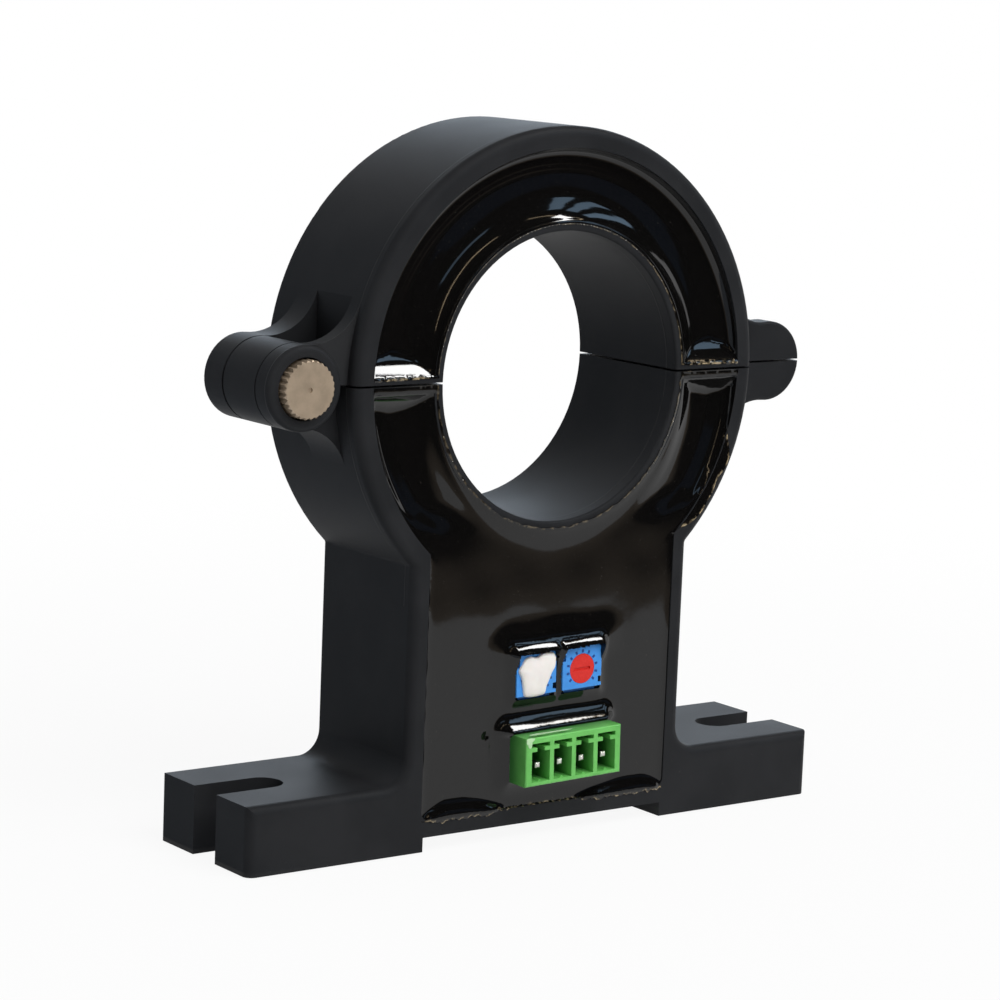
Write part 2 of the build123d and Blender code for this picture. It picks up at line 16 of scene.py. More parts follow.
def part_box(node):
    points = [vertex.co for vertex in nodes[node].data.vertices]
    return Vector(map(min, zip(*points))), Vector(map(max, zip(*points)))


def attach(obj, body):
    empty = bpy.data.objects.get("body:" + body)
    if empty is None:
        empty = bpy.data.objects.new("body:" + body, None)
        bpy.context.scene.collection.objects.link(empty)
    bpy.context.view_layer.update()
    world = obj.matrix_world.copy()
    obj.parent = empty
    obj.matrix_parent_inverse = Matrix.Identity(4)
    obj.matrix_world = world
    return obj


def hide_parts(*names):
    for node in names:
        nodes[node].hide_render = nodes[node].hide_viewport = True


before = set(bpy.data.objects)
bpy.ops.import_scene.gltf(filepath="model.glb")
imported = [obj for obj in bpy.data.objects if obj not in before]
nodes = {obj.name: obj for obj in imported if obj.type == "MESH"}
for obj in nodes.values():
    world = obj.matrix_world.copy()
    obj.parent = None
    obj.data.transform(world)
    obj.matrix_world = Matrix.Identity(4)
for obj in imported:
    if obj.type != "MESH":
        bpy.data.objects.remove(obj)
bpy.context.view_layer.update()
scene = bpy.context.scene
MM = 0.001


def linked(name, data):
    """A new object in the scene."""
    thing = bpy.data.objects.new(name, data)
    scene.collection.objects.link(thing)
    return thing


def built(name, points, faces, material):
    """A new object with a mesh of these points and faces."""
    mesh = bpy.data.meshes.new(name)
    mesh.from_pydata(points, [], faces)
    mesh.materials.append(material)
    return linked(name, mesh)


# %% [markdown]
# A finish is a small program: noise in, colour and roughness out. Written with nodes alone it is
# slow to read, so one class wraps a node's output and gives it Python's own operators. The same
# class serves geometry trees, because their maths nodes are the same ones.

# %% One class for sums, one method for every other node
class Value:
    """A number that a node tree works out, with Python's operators on it."""

    def __init__(self, tree, socket):
        self.tree = tree
        self.socket = socket

    def math(self, operation, *others):
        return self.tree.add("ShaderNodeMath", {"operation": operation}, [self, *others])

    __add__ = __radd__ = partialmethod(math, "ADD")
    __sub__ = partialmethod(math, "SUBTRACT")
    __mul__ = __rmul__ = partialmethod(math, "MULTIPLY")
    __truediv__ = partialmethod(math, "DIVIDE")
    __pow__ = partialmethod(math, "POWER")
    __gt__ = partialmethod(math, "GREATER_THAN")
    __lt__ = partialmethod(math, "LESS_THAN")
    __abs__ = partialmethod(math, "ABSOLUTE")

    def __rsub__(self, other):
        return -1.0 * self + other

    def clamp(self, low, high):
        return self.math("MAXIMUM", low).math("MINIMUM", high)

    def between(self, low, high):
        """Runs straight from 0 to 1 while this value goes from low to high."""
        return self.tree.add("ShaderNodeMapRange", {}, [self, low, high, 0.0, 1.0])

    def ramp(self, low, high, start=0.0, end=1.0):
        """Runs smoothly from start to end while this value goes from low to high."""
        return self.tree.add(
            "ShaderNodeMapRange", {"interpolation_type": "SMOOTHSTEP"}, [self, low, high, start, end]
        )


class Tree:
    """A node tree under construction."""

    def __init__(self, tree):
        self.tree = tree

    def add(self, kind, settings=None, inputs=(), output=0):
        """Adds a node, sets it up, fills its inputs by order or by name, and returns an output."""
        node = self.tree.nodes.new(kind)
        for name, setting in (settings or {}).items():
            setattr(node, name, setting)
        pairs = inputs.items() if isinstance(inputs, dict) else enumerate(inputs)
        for key, value in pairs:
            self.set(node.inputs[key], value)
        return Value(self, node.outputs[output])

    def set(self, socket, value):
        """Links a value to a socket, or writes a plain number or colour into it."""
        if isinstance(value, Value):
            self.tree.links.new(value.socket, socket)
        elif socket.type == "RGBA" and len(value) == 3:
            socket.default_value = (*value, 1.0)
        else:
            socket.default_value = value

    def split(self, vector):
        """A vector's X, Y and Z."""
        node = self.tree.nodes.new("ShaderNodeSeparateXYZ")
        self.set(node.inputs[0], vector)
        return [Value(self, socket) for socket in node.outputs]


class Finish(Tree):
    """A material with one Principled shader."""

    def __init__(self, name, **constants):
        self.material = bpy.data.materials.new(name)
        self.material.use_nodes = True
        super().__init__(self.material.node_tree)
        self.shader = self.tree.nodes["Principled BSDF"]
        self.place = self.add("ShaderNodeTexCoord", output="Object")
        for socket, value in constants.items():
            self.set(self.shader.inputs[socket.replace("_", " ")], value)

    def noise(self, size_mm, detail=2.0, roughness=0.5, at=None):
        """Noise from 0 to 1 whose grains are about size_mm across."""
        inputs = {"Vector": at or self.place, "Scale": 1 / (size_mm * MM), "Detail": detail}
        return self.add("ShaderNodeTexNoise", {"noise_dimensions": "3D"}, {**inputs, "Roughness": roughness})

    def mix(self, factor, a, b):
        """A colour between a and b."""
        return self.add("ShaderNodeMix", {"data_type": "RGBA"}, {0: factor, 6: a, 7: b}, output=2)

    def axes(self):
        """The X, Y and Z of the point that is coloured, in millimetres."""
        return [axis / MM for axis in self.split(self.place)]

    def bump(self, height, depth_mm, strength=1.0, under=None):
        """A normal for a height that goes from 0 to 1 over depth_mm."""
        inputs = {"Strength": strength, "Distance": depth_mm * MM, "Height": height}
        if under is not None:
            inputs["Normal"] = under
        return self.add("ShaderNodeBump", {}, inputs)

    def wear(self, **sockets):
        """Links values that change over the surface to the shader, and returns the material."""
        for socket, value in sockets.items():
            self.set(self.shader.inputs[socket.replace("_", " ")], value)
        return self.material


def dress(material, *names):
    """Puts a material on solids."""
    for name in names:
        slots = nodes[name].data.materials
        slots.clear()
        slots.append(material)
        for polygon in nodes[name].data.polygons:
            polygon.material_index = 0
    print(material.name, "on", ", ".join(names))


# %% [markdown]
# The housing is glass-filled nylon or ABS from a spark-eroded mould: a deep black that scatters
# the light in a fine, even grain. Two sizes of noise do it, one for the grain and one for the slow
# change in gloss that moulding leaves. A fine raised line runs round the ring two millimetres
# behind the rim, where two parts of the mould met, and a little dust lies on it all.

# %% Black moulded plastic
rim_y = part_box("upper_housing")[0][1] / MM
flash_behind, flash_foot = 2.1, 34.0
finish = Finish("black_moulded_plastic", Specular_IOR_Level=0.09)
grain = finish.noise(0.16, detail=3.0, roughness=0.6)
cloud = finish.noise(9.0, detail=2.0)
fleck = finish.noise(0.35, detail=1.0).ramp(0.79, 0.83)
x, y, z = finish.axes()
flash = abs(y - (rim_y + flash_behind)).ramp(0.04, 0.16, 1.0, 0.0) * (z > flash_foot)
shade = finish.mix(cloud.ramp(0.3, 0.7), (0.0175, 0.0182, 0.0200), (0.0225, 0.0232, 0.0252))
shade = finish.mix(flash * 0.5, shade, (0.042, 0.042, 0.043))
black_plastic = finish.wear(
    Base_Color=finish.mix(fleck * 0.25, shade, (0.12, 0.11, 0.10)),
    Roughness=0.42 + 0.12 * cloud + 0.08 * grain,
    Normal=finish.bump(grain, 0.03, 0.6, under=finish.bump(flash, 0.05, 0.8)),
)
dress(black_plastic, "lower_housing", "upper_housing")

# %% [markdown]
# The resin is poured in as a liquid, so its face isn't flat. It creeps up every wall it touches,
# stays sunken along the middle of the ring, and swells in a rounded bar where the ring parts.
# A mirror-black surface shows every one of these slopes, so they matter more than its colour.
# The finish is a smooth gloss with a slow swell and a few specks of dust. Along the edges where the
# film of resin tore, the colour runs to amber, a painted gold highlight, and the gloss is a little
# rougher: the pieces carry that mark as a point attribute.

# %% Black cast resin
finish = Finish("black_cast_resin", Specular_IOR_Level=0.38)
swell = finish.noise(11.0, detail=1.0)
ripple = finish.noise(2.6, detail=2.0)
dust = finish.noise(0.2, detail=1.0).ramp(0.76, 0.82)
# A painted gold highlight: this mask follows the film's torn edges, where the colour runs to amber and the
# gloss gets rougher.
edge_highlight = finish.add("ShaderNodeAttribute", {"attribute_name": "edge_highlight"}, output="Fac")
torn = edge_highlight * finish.noise(0.9, detail=2.0).ramp(0.42, 0.66)
painted_gold_highlight = finish.mix(torn, (0.0035, 0.0033, 0.0032), (0.52, 0.41, 0.25))
black_resin = finish.wear(
    Base_Color=finish.mix(dust * 0.2, painted_gold_highlight, (0.30, 0.27, 0.22)),
    Roughness=0.04 + 0.04 * swell + 0.25 * dust + 0.2 * torn,
    Normal=finish.bump(ripple, 0.02, 0.2),
)

# %% [markdown]
# The ring's sizes come from the solids, so the resin fits its tray wherever the frame puts it.
# All the resin's own measures are in millimetres. A height is how far the surface stands in front
# of the plane of the rim, and a depth is how far it is sunk behind that plane.

# %% Sizes of the tray, read from the solids
fill_low, fill_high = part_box("upper_potting")
trough_r = (fill_high[0] - fill_low[0]) / 2 / MM
tray_floor_y = fill_high[1] / MM
hinge_low, hinge_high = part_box("hinge_pin")
bore_z = (hinge_low[2] + hinge_high[2]) / 2 / MM
lip_r, film_r = 21.5, 20.9
level = 0.3
end_wall, end_reach, end_power, end_depth, end_film = 1.0, 6.2, 2.4, 2.6, 0.12
end_blend = 0.3
film_back = 0.02
tray_end = 1.2
print("tray radius", round(trough_r, 2), "rim at", round(rim_y, 2), "bore centre at", round(bore_z, 2))

# %% [markdown]
# Across the ring the surface has one section all the way round. The highlights tell its slopes: a
# raised lip that falls steeply (it mirrors the ceiling, then the windows), a floor that climbs by
# less than twelve degrees (it mirrors the dark room), and a steep last millimetre and a half at the
# outer wall (it mirrors the pale table). It is drawn here as a curve through a few points.

# %% The section, as radius and height
section = [
    (20.9, 0.02), (21.15, 0.13), (21.4, 0.05), (21.7, -0.23), (22.1, -0.52), (22.7, -0.87), (23.3, -1.16),
    (24.2, -1.50), (25.2, -1.73), (26.2, -1.87), (27.2, -1.97), (27.9, -2.0), (28.2, -1.96),
    (28.45, -1.90), (28.8, -1.88), (29.1, -1.81), (29.5, -1.78), (30.2, -1.66), (30.6, -1.48),
    (31.0, -1.02), (31.3, -0.40),
]
section_first, section_last = section[0][0], section[-1][0]
height_low, height_high = -2.2, 0.4
print("the channel is", -min(height for radius, height in section), "mm deep")


class Form(Tree):
    """A geometry tree that makes one mesh, with named inputs for its sizes."""

    def __init__(self, name, **sizes):
        self.name = name
        self.sizes = sizes
        group = bpy.data.node_groups.new(name, "GeometryNodeTree")
        group.interface.new_socket("Geometry", in_out="OUTPUT", socket_type="NodeSocketGeometry")
        self.keys = {}
        for label, value in sizes.items():
            kind = "NodeSocketInt" if isinstance(value, int) else "NodeSocketFloat"
            self.keys[label] = group.interface.new_socket(label, in_out="INPUT", socket_type=kind).identifier
        super().__init__(group)
        self.start = group.nodes.new("NodeGroupInput")
        self.end = group.nodes.new("NodeGroupOutput")

    def size(self, label):
        """One of the tree's named inputs."""
        return Value(self, self.start.outputs[label])

    def point(self, x, y, z):
        """A vector from three numbers."""
        return self.add("ShaderNodeCombineXYZ", {}, [x, y, z])

    def axes(self):
        """The X, Y and Z of the point that is moved."""
        return self.split(self.add("GeometryNodeInputPosition"))

    def moved(self, geometry, x, y, z, selection=True):
        """The geometry with its selected points put at X, Y and Z."""
        inputs = {"Geometry": geometry, "Selection": selection, "Position": self.point(x, y, z)}
        return self.add("GeometryNodeSetPosition", {}, inputs)

    def join(self, *parts):
        """Several geometries as one."""
        node = self.tree.nodes.new("GeometryNodeJoinGeometry")
        for part in parts:
            self.set(node.inputs[0], part)
        return Value(self, node.outputs[0])

    def wobble(self, at, seed, detail=2.0):
        """Noise from -0.5 to 0.5 at a point, always the same for one seed."""
        return self.add(
            "ShaderNodeTexNoise", {"noise_dimensions": "4D"},
            {"Vector": at, "W": seed, "Scale": 1.0, "Detail": detail},
        ) - 0.5

    def mesh(self, geometry, material):
        """Ends the tree, evaluates it and returns a plain object at the origin."""
        whole = self.add("GeometryNodeRealizeInstances", {}, [geometry])
        dressed = self.add("GeometryNodeSetMaterial", {}, {"Geometry": whole})
        dressed.socket.node.inputs["Material"].default_value = material
        self.set(self.end.inputs[0], dressed)
        host = linked(self.name, bpy.data.meshes.new(self.name))
        modifier = host.modifiers.new(self.name, "NODES")
        modifier.node_group = self.tree
        for label, value in self.sizes.items():
            modifier[self.keys[label]] = value
        evaluated = host.evaluated_get(bpy.context.evaluated_depsgraph_get())
        plain_mesh = bpy.data.meshes.new_from_object(evaluated)
        host.modifiers.clear()
        host.data = plain_mesh
        plain_mesh.name = self.name
        print(self.name, len(plain_mesh.polygons), "faces")
        return host


# %% [markdown]
# The upper half follows its rule all the way round, so a node tree makes it. A flat grid is bent
# round the bore, and each point is pushed to the section's height. The ends are cut straight, a
# little above the parting plane, by starting each ring of points at its own angle. Towards each
# end the resin climbs the tray's end wall, more and more steeply and evenly across the channel, so
# the smaller of two depths wins: the channel's, or that of the climb. A second, flipped copy pushed
# to the tray's floor closes the piece behind.

# %% The upper half's resin
form = Form(
    "upper_resin", Around=340, Across=64, Bore_Height=bore_z, Rim=rim_y, Floor=tray_floor_y,
    End_Wall=end_wall, End_Reach=end_reach, End_Power=end_power, End_Depth=end_depth,
    Film=end_film, Edge_Wobble=0.22, Seed=3.0,
)
edge_pace, torn_pace, end_start, end_rag = 12, (1.1, 40), 0.78, 0.6
swell_pace, swell_height = (0.12, 2.6), 0.12
grid = form.add("GeometryNodeMeshGrid", {}, [1.0, 1.0, form.size("Around"), form.size("Across")])
along, across = form.axes()[:2]
turn = along + 0.5
half_turn = turn * math.pi
around = form.point(edge_pace * half_turn.math("COSINE"), edge_pace * half_turn.math("SINE"), 0.0)
inner_edge = film_r + form.size("Edge_Wobble") * form.wobble(around, form.size("Seed"))
radius = inner_edge + (across + 0.5) * (trough_r - inner_edge)
torn_at = form.point(radius * torn_pace[0], turn * torn_pace[1], 0.0)
end_height = end_start + end_rag * form.wobble(torn_at, form.size("Seed") + 5.0)
first_angle = (end_height / radius).math("ARCSINE")
angle = first_angle + turn * (math.pi - 2 * first_angle)
above_bore = radius * angle.math("SINE")

curve_node = form.tree.nodes.new("ShaderNodeFloatCurve")
curve = curve_node.mapping.curves[0]
while len(curve.points) < len(section):
    curve.points.new(0.5, 0.5)
for point, (section_r, height) in zip(curve.points, section):
    point.location = (
        (section_r - section_first) / (section_last - section_first),
        (height - height_low) / (height_high - height_low),
    )
curve_node.mapping.update()
form.set(curve_node.inputs["Value"], radius.between(section_first, section_last))
channel_depth = -1 * (height_low + (height_high - height_low) * Value(form, curve_node.outputs[0]))

away = ((above_bore - form.size("End_Wall")) / form.size("End_Reach")).clamp(0.0, 1.0)
climb_depth = form.size("End_Depth") * (1 - (1 - away) ** form.size("End_Power")) - form.size("Film")
depth = channel_depth.math("SMOOTH_MIN", climb_depth, end_blend)
swell_at = form.point(radius * swell_pace[0], angle * swell_pace[1], 0.0)
depth = depth + swell_height * form.wobble(swell_at, form.size("Seed") + 9.0, detail=0.0)
bent = form.moved(
    grid,
    radius * angle.math("COSINE") * MM,
    (form.size("Rim") + depth) * MM,
    (form.size("Bore_Height") + above_bore) * MM,
)
pushed = form.tree.nodes.new("GeometryNodeExtrudeMesh")
form.set(pushed.inputs["Mesh"], bent)
form.set(pushed.inputs["Offset Scale"], 0.001)
pushed.inputs["Individual"].default_value = False
x, y, z = form.axes()
from_bore = (x * x + (z - form.size("Bore_Height") * MM) ** 2).math("SQRT") / MM
in_tray = (from_bore > lip_r + 0.05) * ((z / MM - form.size("Bore_Height")) > tray_end)
behind = form.size("Rim") + film_back + in_tray * (form.size("Floor") - form.size("Rim") - film_back)
pushed_mesh, pushed_top = (Value(form, pushed.outputs[name]) for name in ("Mesh", "Top"))
set_back = form.moved(pushed_mesh, x, behind * MM, z, selection=pushed_top)
flipped = form.add("GeometryNodeFlipFaces", {}, [set_back])
both_sides = form.join(bent, flipped)
closed = form.add("GeometryNodeMergeByDistance", {}, {"Geometry": both_sides, "Distance": 1e-7})
upper_resin = form.mesh(closed, black_resin)


def smooth_front(piece, crease_degrees=35):
    """Shades a piece smoothly, apart from edges that turn by more than crease_degrees."""
    piece.data.shade_smooth()
    piece.data.set_sharp_from_angle(angle=math.radians(crease_degrees))


def outward(piece):
    """Turns a closed mesh's faces outward, which its signed volume shows."""
    work = bmesh.new()
    work.from_mesh(piece.data)
    volume = work.calc_volume(signed=True)
    open_edges = sum(1 for edge in work.edges if len(edge.link_faces) != 2)
    if volume < 0:
        bmesh.ops.reverse_faces(work, faces=work.faces)
        work.to_mesh(piece.data)
    work.free()
    print(piece.name, "volume", round(abs(volume) * 1e9, 1), "mm3, open edges", open_edges)


def mark_edge_highlight(piece, highlight_share):
    """Stores for each point, from 0 to 1, how strong the painted gold highlight along a torn edge is there.
    """
    layer = piece.data.attributes.new("edge_highlight", "FLOAT", "POINT")
    layer.data.foreach_set("value", np.ascontiguousarray(highlight_share, dtype=np.float32))


outward(upper_resin)
smooth_front(upper_resin)
# The painted gold highlight on the upper resin: its strength at the lip, and where it fades from the lip's
# torn edge and the torn ends.
lip_highlight, lip_torn, lip_fade, end_torn, end_fade = 0.45, 0.14, 0.10, 1.05, 0.25
spots = np.array([tuple(vertex.co) for vertex in upper_resin.data.vertices]) / MM
spot_r = np.hypot(spots[:, 0], spots[:, 2] - bore_z)
in_front = spots[:, 1] < rim_y + 0.01
lip_edge = lip_highlight * np.clip((film_r + lip_torn - spot_r) / lip_fade, 0, 1)
end_edge = np.clip((end_torn - (spots[:, 2] - bore_z)) / end_fade, 0, 1)
mark_edge_highlight(upper_resin, np.maximum(lip_edge, end_edge) * in_front)
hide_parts("upper_potting")
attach(upper_resin, "upper_half")

# %% [markdown]
# The lower half's resin has no single rule. Its channel runs out into the stem, and the surface
# climbs the header, the trimmers, the bore's lip and the sill. So it is one height for each point,
# written as a sum of simple causes, and a mesh laid over the whole face by a constrained
# triangulation, which leaves exact holes for the header and the trimmers.

# %% What stands in the lower resin
board_tilt = math.radians(1.5)


def footprint(name, inset=0.03):
    """The rectangle that a tilted piece cuts out of the resin: centre, two ways and half sizes."""
    low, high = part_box(name)
    wide, tall = (high[0] - low[0]) / MM, (high[2] - low[2]) / MM
    cosine, sine = math.cos(board_tilt), math.sin(board_tilt)
    width = (wide * cosine - tall * sine) / (cosine**2 - sine**2) - 2 * inset
    height = (tall * cosine - wide * sine) / (cosine**2 - sine**2) - 2 * inset
    centre = np.array([(low[0] + high[0]) / 2, (low[2] + high[2]) / 2]) / MM
    right_way = np.array([cosine, sine])
    up_way = np.array([-sine, cosine])
    return centre, right_way, up_way, width / 2, height / 2


def stepped_footprint(name, side=0.58, foot=0.27):
    """A trimmer's: its cut corners leave less at the sides and top than at its foot."""
    centre, right_way, up_way, half_width, half_height = footprint(name, inset=side)
    return centre - foot * up_way, right_way, up_way, half_width, half_height + foot


header = footprint("header_body")
trimmer_names = ("left_trimmer_body", "right_trimmer_body")
trimmers = [stepped_footprint(name) for name in trimmer_names]
trimmer_walls = [footprint(name) for name in trimmer_names]
print("header is", round(2 * header[3], 2), "by", round(2 * header[4], 2), "mm at the resin")


def outside(points, rectangle):
    """How far each point lies outside a rectangle, negative within it."""
    centre, right_way, up_way, half_width, half_height = rectangle
    across = np.abs((points - centre) @ right_way) - half_width
    upward = np.abs((points - centre) @ up_way) - half_height
    beyond = np.hypot(np.maximum(across, 0), np.maximum(upward, 0))
    return beyond + np.minimum(np.maximum(across, upward), 0)


# %% [markdown]
# Random swells must be smooth and the same in every run, so they are a sum of a few sine waves with
# seeded directions.

# %% A smooth random field
def field(points, size, seed):
    """A smooth random height from about -1 to 1 whose swells are about size mm across."""
    chance = np.random.default_rng(seed)
    total = np.zeros(len(points))
    for wave in range(7):
        bearing = chance.uniform(0, 2 * math.pi)
        pace = 2 * math.pi / (size * chance.uniform(0.8, 1.7))
        way = np.array([math.cos(bearing), math.sin(bearing)])
        total += np.sin(pace * points @ way + chance.uniform(0, 2 * math.pi))
    return total / 3.2


def smooth_min(a, b, blend):
    """The smaller of two arrays, with a smooth change where they cross."""
    overlap = np.maximum(blend - np.abs(a - b), 0) / blend
    return np.minimum(a, b) - overlap**2 * blend / 4


def smooth_step(value, low, high):
    """Runs smoothly from 0 to 1 while value goes from low to high."""
    share = np.clip((value - low) / (high - low), 0, 1)
    return share * share * (3 - 2 * share)


# %% The lower resin's height, cause by cause
sill_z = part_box("lower_potting")[0][2] / MM
section_r, section_h = np.array(section).T
lip_start_r, lip_climb, lip_reach = 21.1, 0.42, 0.45
lip_climb_below, lip_reach_below = 0.10, 0.85
window_half = 21.1
run_out = 31.0
ring_out_r = 31.4
channel_lean = (-min(section_h) - level) / run_out
channel_fade = (16, 27)
header_wetting = ((1.75, 2.9, 2.0), (0.40, 4.2, 1.7))
header_side_share = 0.40
trimmer_wetting = ((1.35, 1.9, 2.0), (0.55, 5.2, 1.7))
trimmer_side_share = 0.30
under_trimmer = -0.15
pit, pit_depth, pit_spread = (-10.4, 15.1), 0.2, 0.16
slow_swell = 0.02
wall_climb, wall_reach = 0.12, 0.35
sill_heap, left_heap, right_heap, heap_height = 0.35, 2.5, 2.1, 0.62
rim_film, rim_fade, ring_foot_z = 0.03, 0.5, 41


def wetted(gap, terms):
    """The climb of a liquid up a wall gap mm away: terms of climb, reach and power are added."""
    beyond = np.maximum(gap, 0)
    return sum(climb * np.clip(1 - beyond / reach, 0, 1) ** power for climb, reach, power in terms)


def sill_puddle(x):
    """How far up the resin is heaped against the sill, in mm, along X."""
    left = smooth_step(x, -22.4, -16.5) * (1 - smooth_step(x, -15.0, -4.0))
    right = smooth_step(x, 1.5, 15.5) * (1 - smooth_step(x, 17.0, 22.6))
    return sill_heap + left_heap * left + right_heap * right


def lower_height(points):
    """How far the lower resin's face stands in front of the rim's plane, for X and Z in mm."""
    x, z = points.T
    below = bore_z - z
    radius = np.hypot(x, below)
    ring = np.interp(radius, fine_r, fine_h)
    channel = -level - ring
    low_share = smooth_step(below, 8, 21)
    from_lip = np.maximum(radius - lip_start_r, 0) / (lip_reach + lip_reach_below * low_share)
    lip = (lip_climb + lip_climb_below * low_share) * np.exp(-from_lip)
    sunk = np.maximum(channel, 0) * (1 - smooth_step(below, *channel_fade)) - channel_lean * below
    sunk = -smooth_min(-sunk, np.zeros(len(x)), 0.35)
    height = -level + lip - sunk * (radius < ring_out_r)
    away = np.clip((below - end_wall) / end_reach, 0, 1)
    height = -smooth_min(-height, end_depth * (1 - (1 - away) ** end_power) - end_film, end_blend)
    near_header = outside(points, header) * (1 + 0.04 * field(points, 9, 11))
    over_header = smooth_step((points - header[0]) @ header[2] - header[4], -0.8, 0.6)
    header_share = header_side_share + (1 - header_side_share) * over_header
    height = height + header_share * wetted(near_header, header_wetting)
    near_trimmer = smooth_min(*(outside(points, wall) for wall in trimmer_walls), 0.5)
    near_trimmer = near_trimmer * (1 + 0.05 * field(points, 7, 12))
    centre, right_way, up_way, half_width, half_height = trimmer_walls[0]
    above_top = smooth_step((points - centre) @ up_way - half_height, -3.2, 0.4)
    trimmer_share = trimmer_side_share + (1 - trimmer_side_share) * above_top
    height = height + trimmer_share * wetted(near_trimmer, trimmer_wetting)
    height = np.where(near_trimmer < -0.04, np.minimum(height, under_trimmer), height)
    heap = sill_puddle(x)
    above_sill = z - sill_z
    heaped = heap_height * smooth_step(heap - above_sill, 0, heap) * smooth_step(heap, 0.5, 1.6)
    height = height + heaped
    from_wall = np.maximum(window_half - np.abs(x), 0)
    height = height + wall_climb * np.exp(-from_wall / wall_reach) * (radius > trough_r)
    height = height + slow_swell * field(points, 9, 13)
    height = height - pit_depth * np.exp(-((x - pit[0]) ** 2 + (z - pit[1]) ** 2) / pit_spread)
    spill = np.maximum(np.maximum(radius - trough_r, 0) * (z > ring_foot_z), np.maximum(sill_z - z, 0))
    return np.where(spill > 0, np.maximum(height * np.exp(-spill / rim_fade), rim_film), height)


# The section is made smooth for the mesh, as the node tree's curve makes it.
fine_r = np.linspace(section_first, section_last, 200)
spread = np.exp(-((fine_r[:, None] - fine_r[None, :]) / 0.22) ** 2)
fine_h = spread @ np.interp(fine_r, section_r, section_h) / spread.sum(axis=1)
stem_middle = np.array([[0.0, 30.0]])
print("resin stands", round(float(lower_height(stem_middle)[0]), 2), "mm from the rim in the stem")

# %% [markdown]
# The outline runs round the tray with a little life in it: the resin has shrunk from the stem's
# left wall, its film over the bore's lip and the sill ends in a torn edge, and on the right it has
# crept over the ring's rim. Each stretch is an arc or a line with a random offset.

# %% The lower resin's outline
from mathutils.geometry import delaunay_2d_cdt


def arc(radius, start, end, step=0.3):
    """Points of an arc about the bore, from one angle to another in degrees."""
    count = max(3, int(abs(math.radians(end - start)) * np.mean(radius) / step))
    angles = np.radians(np.linspace(start, end, count))
    return np.stack([radius * np.cos(angles), bore_z + radius * np.sin(angles)], axis=1)


def line(start, end, step=0.3):
    """Points of a straight line, without its last one."""
    count = max(2, int(math.dist(start, end) / step))
    share = np.linspace(0, 1, count, endpoint=False)[:, None]
    return np.array(start) * (1 - share) + np.array(end) * share


def ragged_rings(points, amount, size, seed):
    """Moves points of an arc in and out from the bore by a random amount."""
    offset = amount * field(points, size, seed)
    way = points - np.array([0.0, bore_z])
    way = way / np.hypot(*way.T)[:, None]
    return points + way * offset[:, None]


half_joint, joint_r = 0.16, 26.0
wall_gap, wall_gap_wobble = 0.20, 0.09
spill_reach, tear, fray = 0.45, 0.16, 0.06
creep, creep_wobble = 1.7, 0.16
joint_angle = math.degrees(math.asin(half_joint / joint_r))
corner_angle = math.degrees(math.acos(window_half / trough_r))
wall_top_z = bore_z - trough_r * math.sin(math.radians(corner_angle))
left_arc = arc(trough_r - 0.01, 180 + joint_angle, 180 + corner_angle)
left_wall = line((-window_half, wall_top_z), (-window_half, sill_z))
shrunk = wall_gap + wall_gap_wobble * field(left_wall, 3, 21)
along_wall = smooth_step(left_wall[:, 1], 10, 12) * (1 - smooth_step(left_wall[:, 1], 36, 40))
left_wall[:, 0] += shrunk * along_wall
sill = line((-window_half, sill_z), (window_half, sill_z), 0.22)
spilled = spill_reach * smooth_step(sill_puddle(sill[:, 0]), 0.4, 1.6)
sill[:, 1] -= spilled + tear * (field(sill, 1.6, 22) + field(sill, 0.7, 23)) * (spilled > 0.05)
sill[:, 1] += fray * field(sill, 1.2, 24)
right_wall = line((window_half - 0.01, sill_z), (window_half - 0.01, wall_top_z))
right_arc = arc(trough_r - 0.01, -corner_angle, -joint_angle)
right_turn = np.degrees(np.arctan2(right_arc[:, 1] - bore_z, right_arc[:, 0]))
crept = creep * smooth_step(right_turn, -47, -40) * (1 - smooth_step(right_turn, -24, -15))
crept = crept * (1 + creep_wobble * field(right_arc, 4, 25)) + 0.02
way = (right_arc - np.array([0.0, bore_z])) / trough_r
right_arc = right_arc + way * crept[:, None]
inner_arc = ragged_rings(arc(film_r, -joint_angle, -180 + joint_angle), 0.10, 1.6, 26)
outline = np.concatenate([left_arc, left_wall, sill, right_wall, right_arc, inner_arc])
print("outline has", len(outline), "points")

# %% [markdown]
# Points inside the outline are denser where the surface turns: 0.2 mm beside the header, the
# trimmers and the sill, 0.4 mm elsewhere. The triangulation keeps the outline's own edges.

# %% Points over the face
def corners_of(rectangle):
    """A rectangle's outline as points, in order."""
    centre, right_way, up_way, half_width, half_height = rectangle
    turns = [(-1, -1), (1, -1), (1, 1), (-1, 1), (-1, -1)]
    ends = [centre + a * half_width * right_way + b * half_height * up_way for a, b in turns]
    return np.concatenate([line(a, b, edge_step) for a, b in zip(ends, ends[1:])])


def within(points, loop):
    """Whether points lie inside a closed loop, by counting crossings."""
    inside = np.zeros(len(points), bool)
    x, z = points.T
    for (x0, z0), (x1, z1) in zip(loop, np.roll(loop, -1, axis=0)):
        crosses = (z0 > z) != (z1 > z)
        if z1 != z0:
            inside ^= crosses & (x < (x1 - x0) * (z - z0) / (z1 - z0) + x0)
    return inside


def on_face(points):
    """Whether points lie inside the outline and outside every hole."""
    keep = within(points, outline)
    for hole in holes:
        keep &= ~within(points, hole)
    return keep


def lattice(step, low_z, high_z):
    """A square grid of points over the stem."""
    columns, levels = np.arange(-20.9, 21.0, step), np.arange(low_z, high_z, step)
    return np.stack(np.meshgrid(columns, levels), -1).reshape(-1, 2)


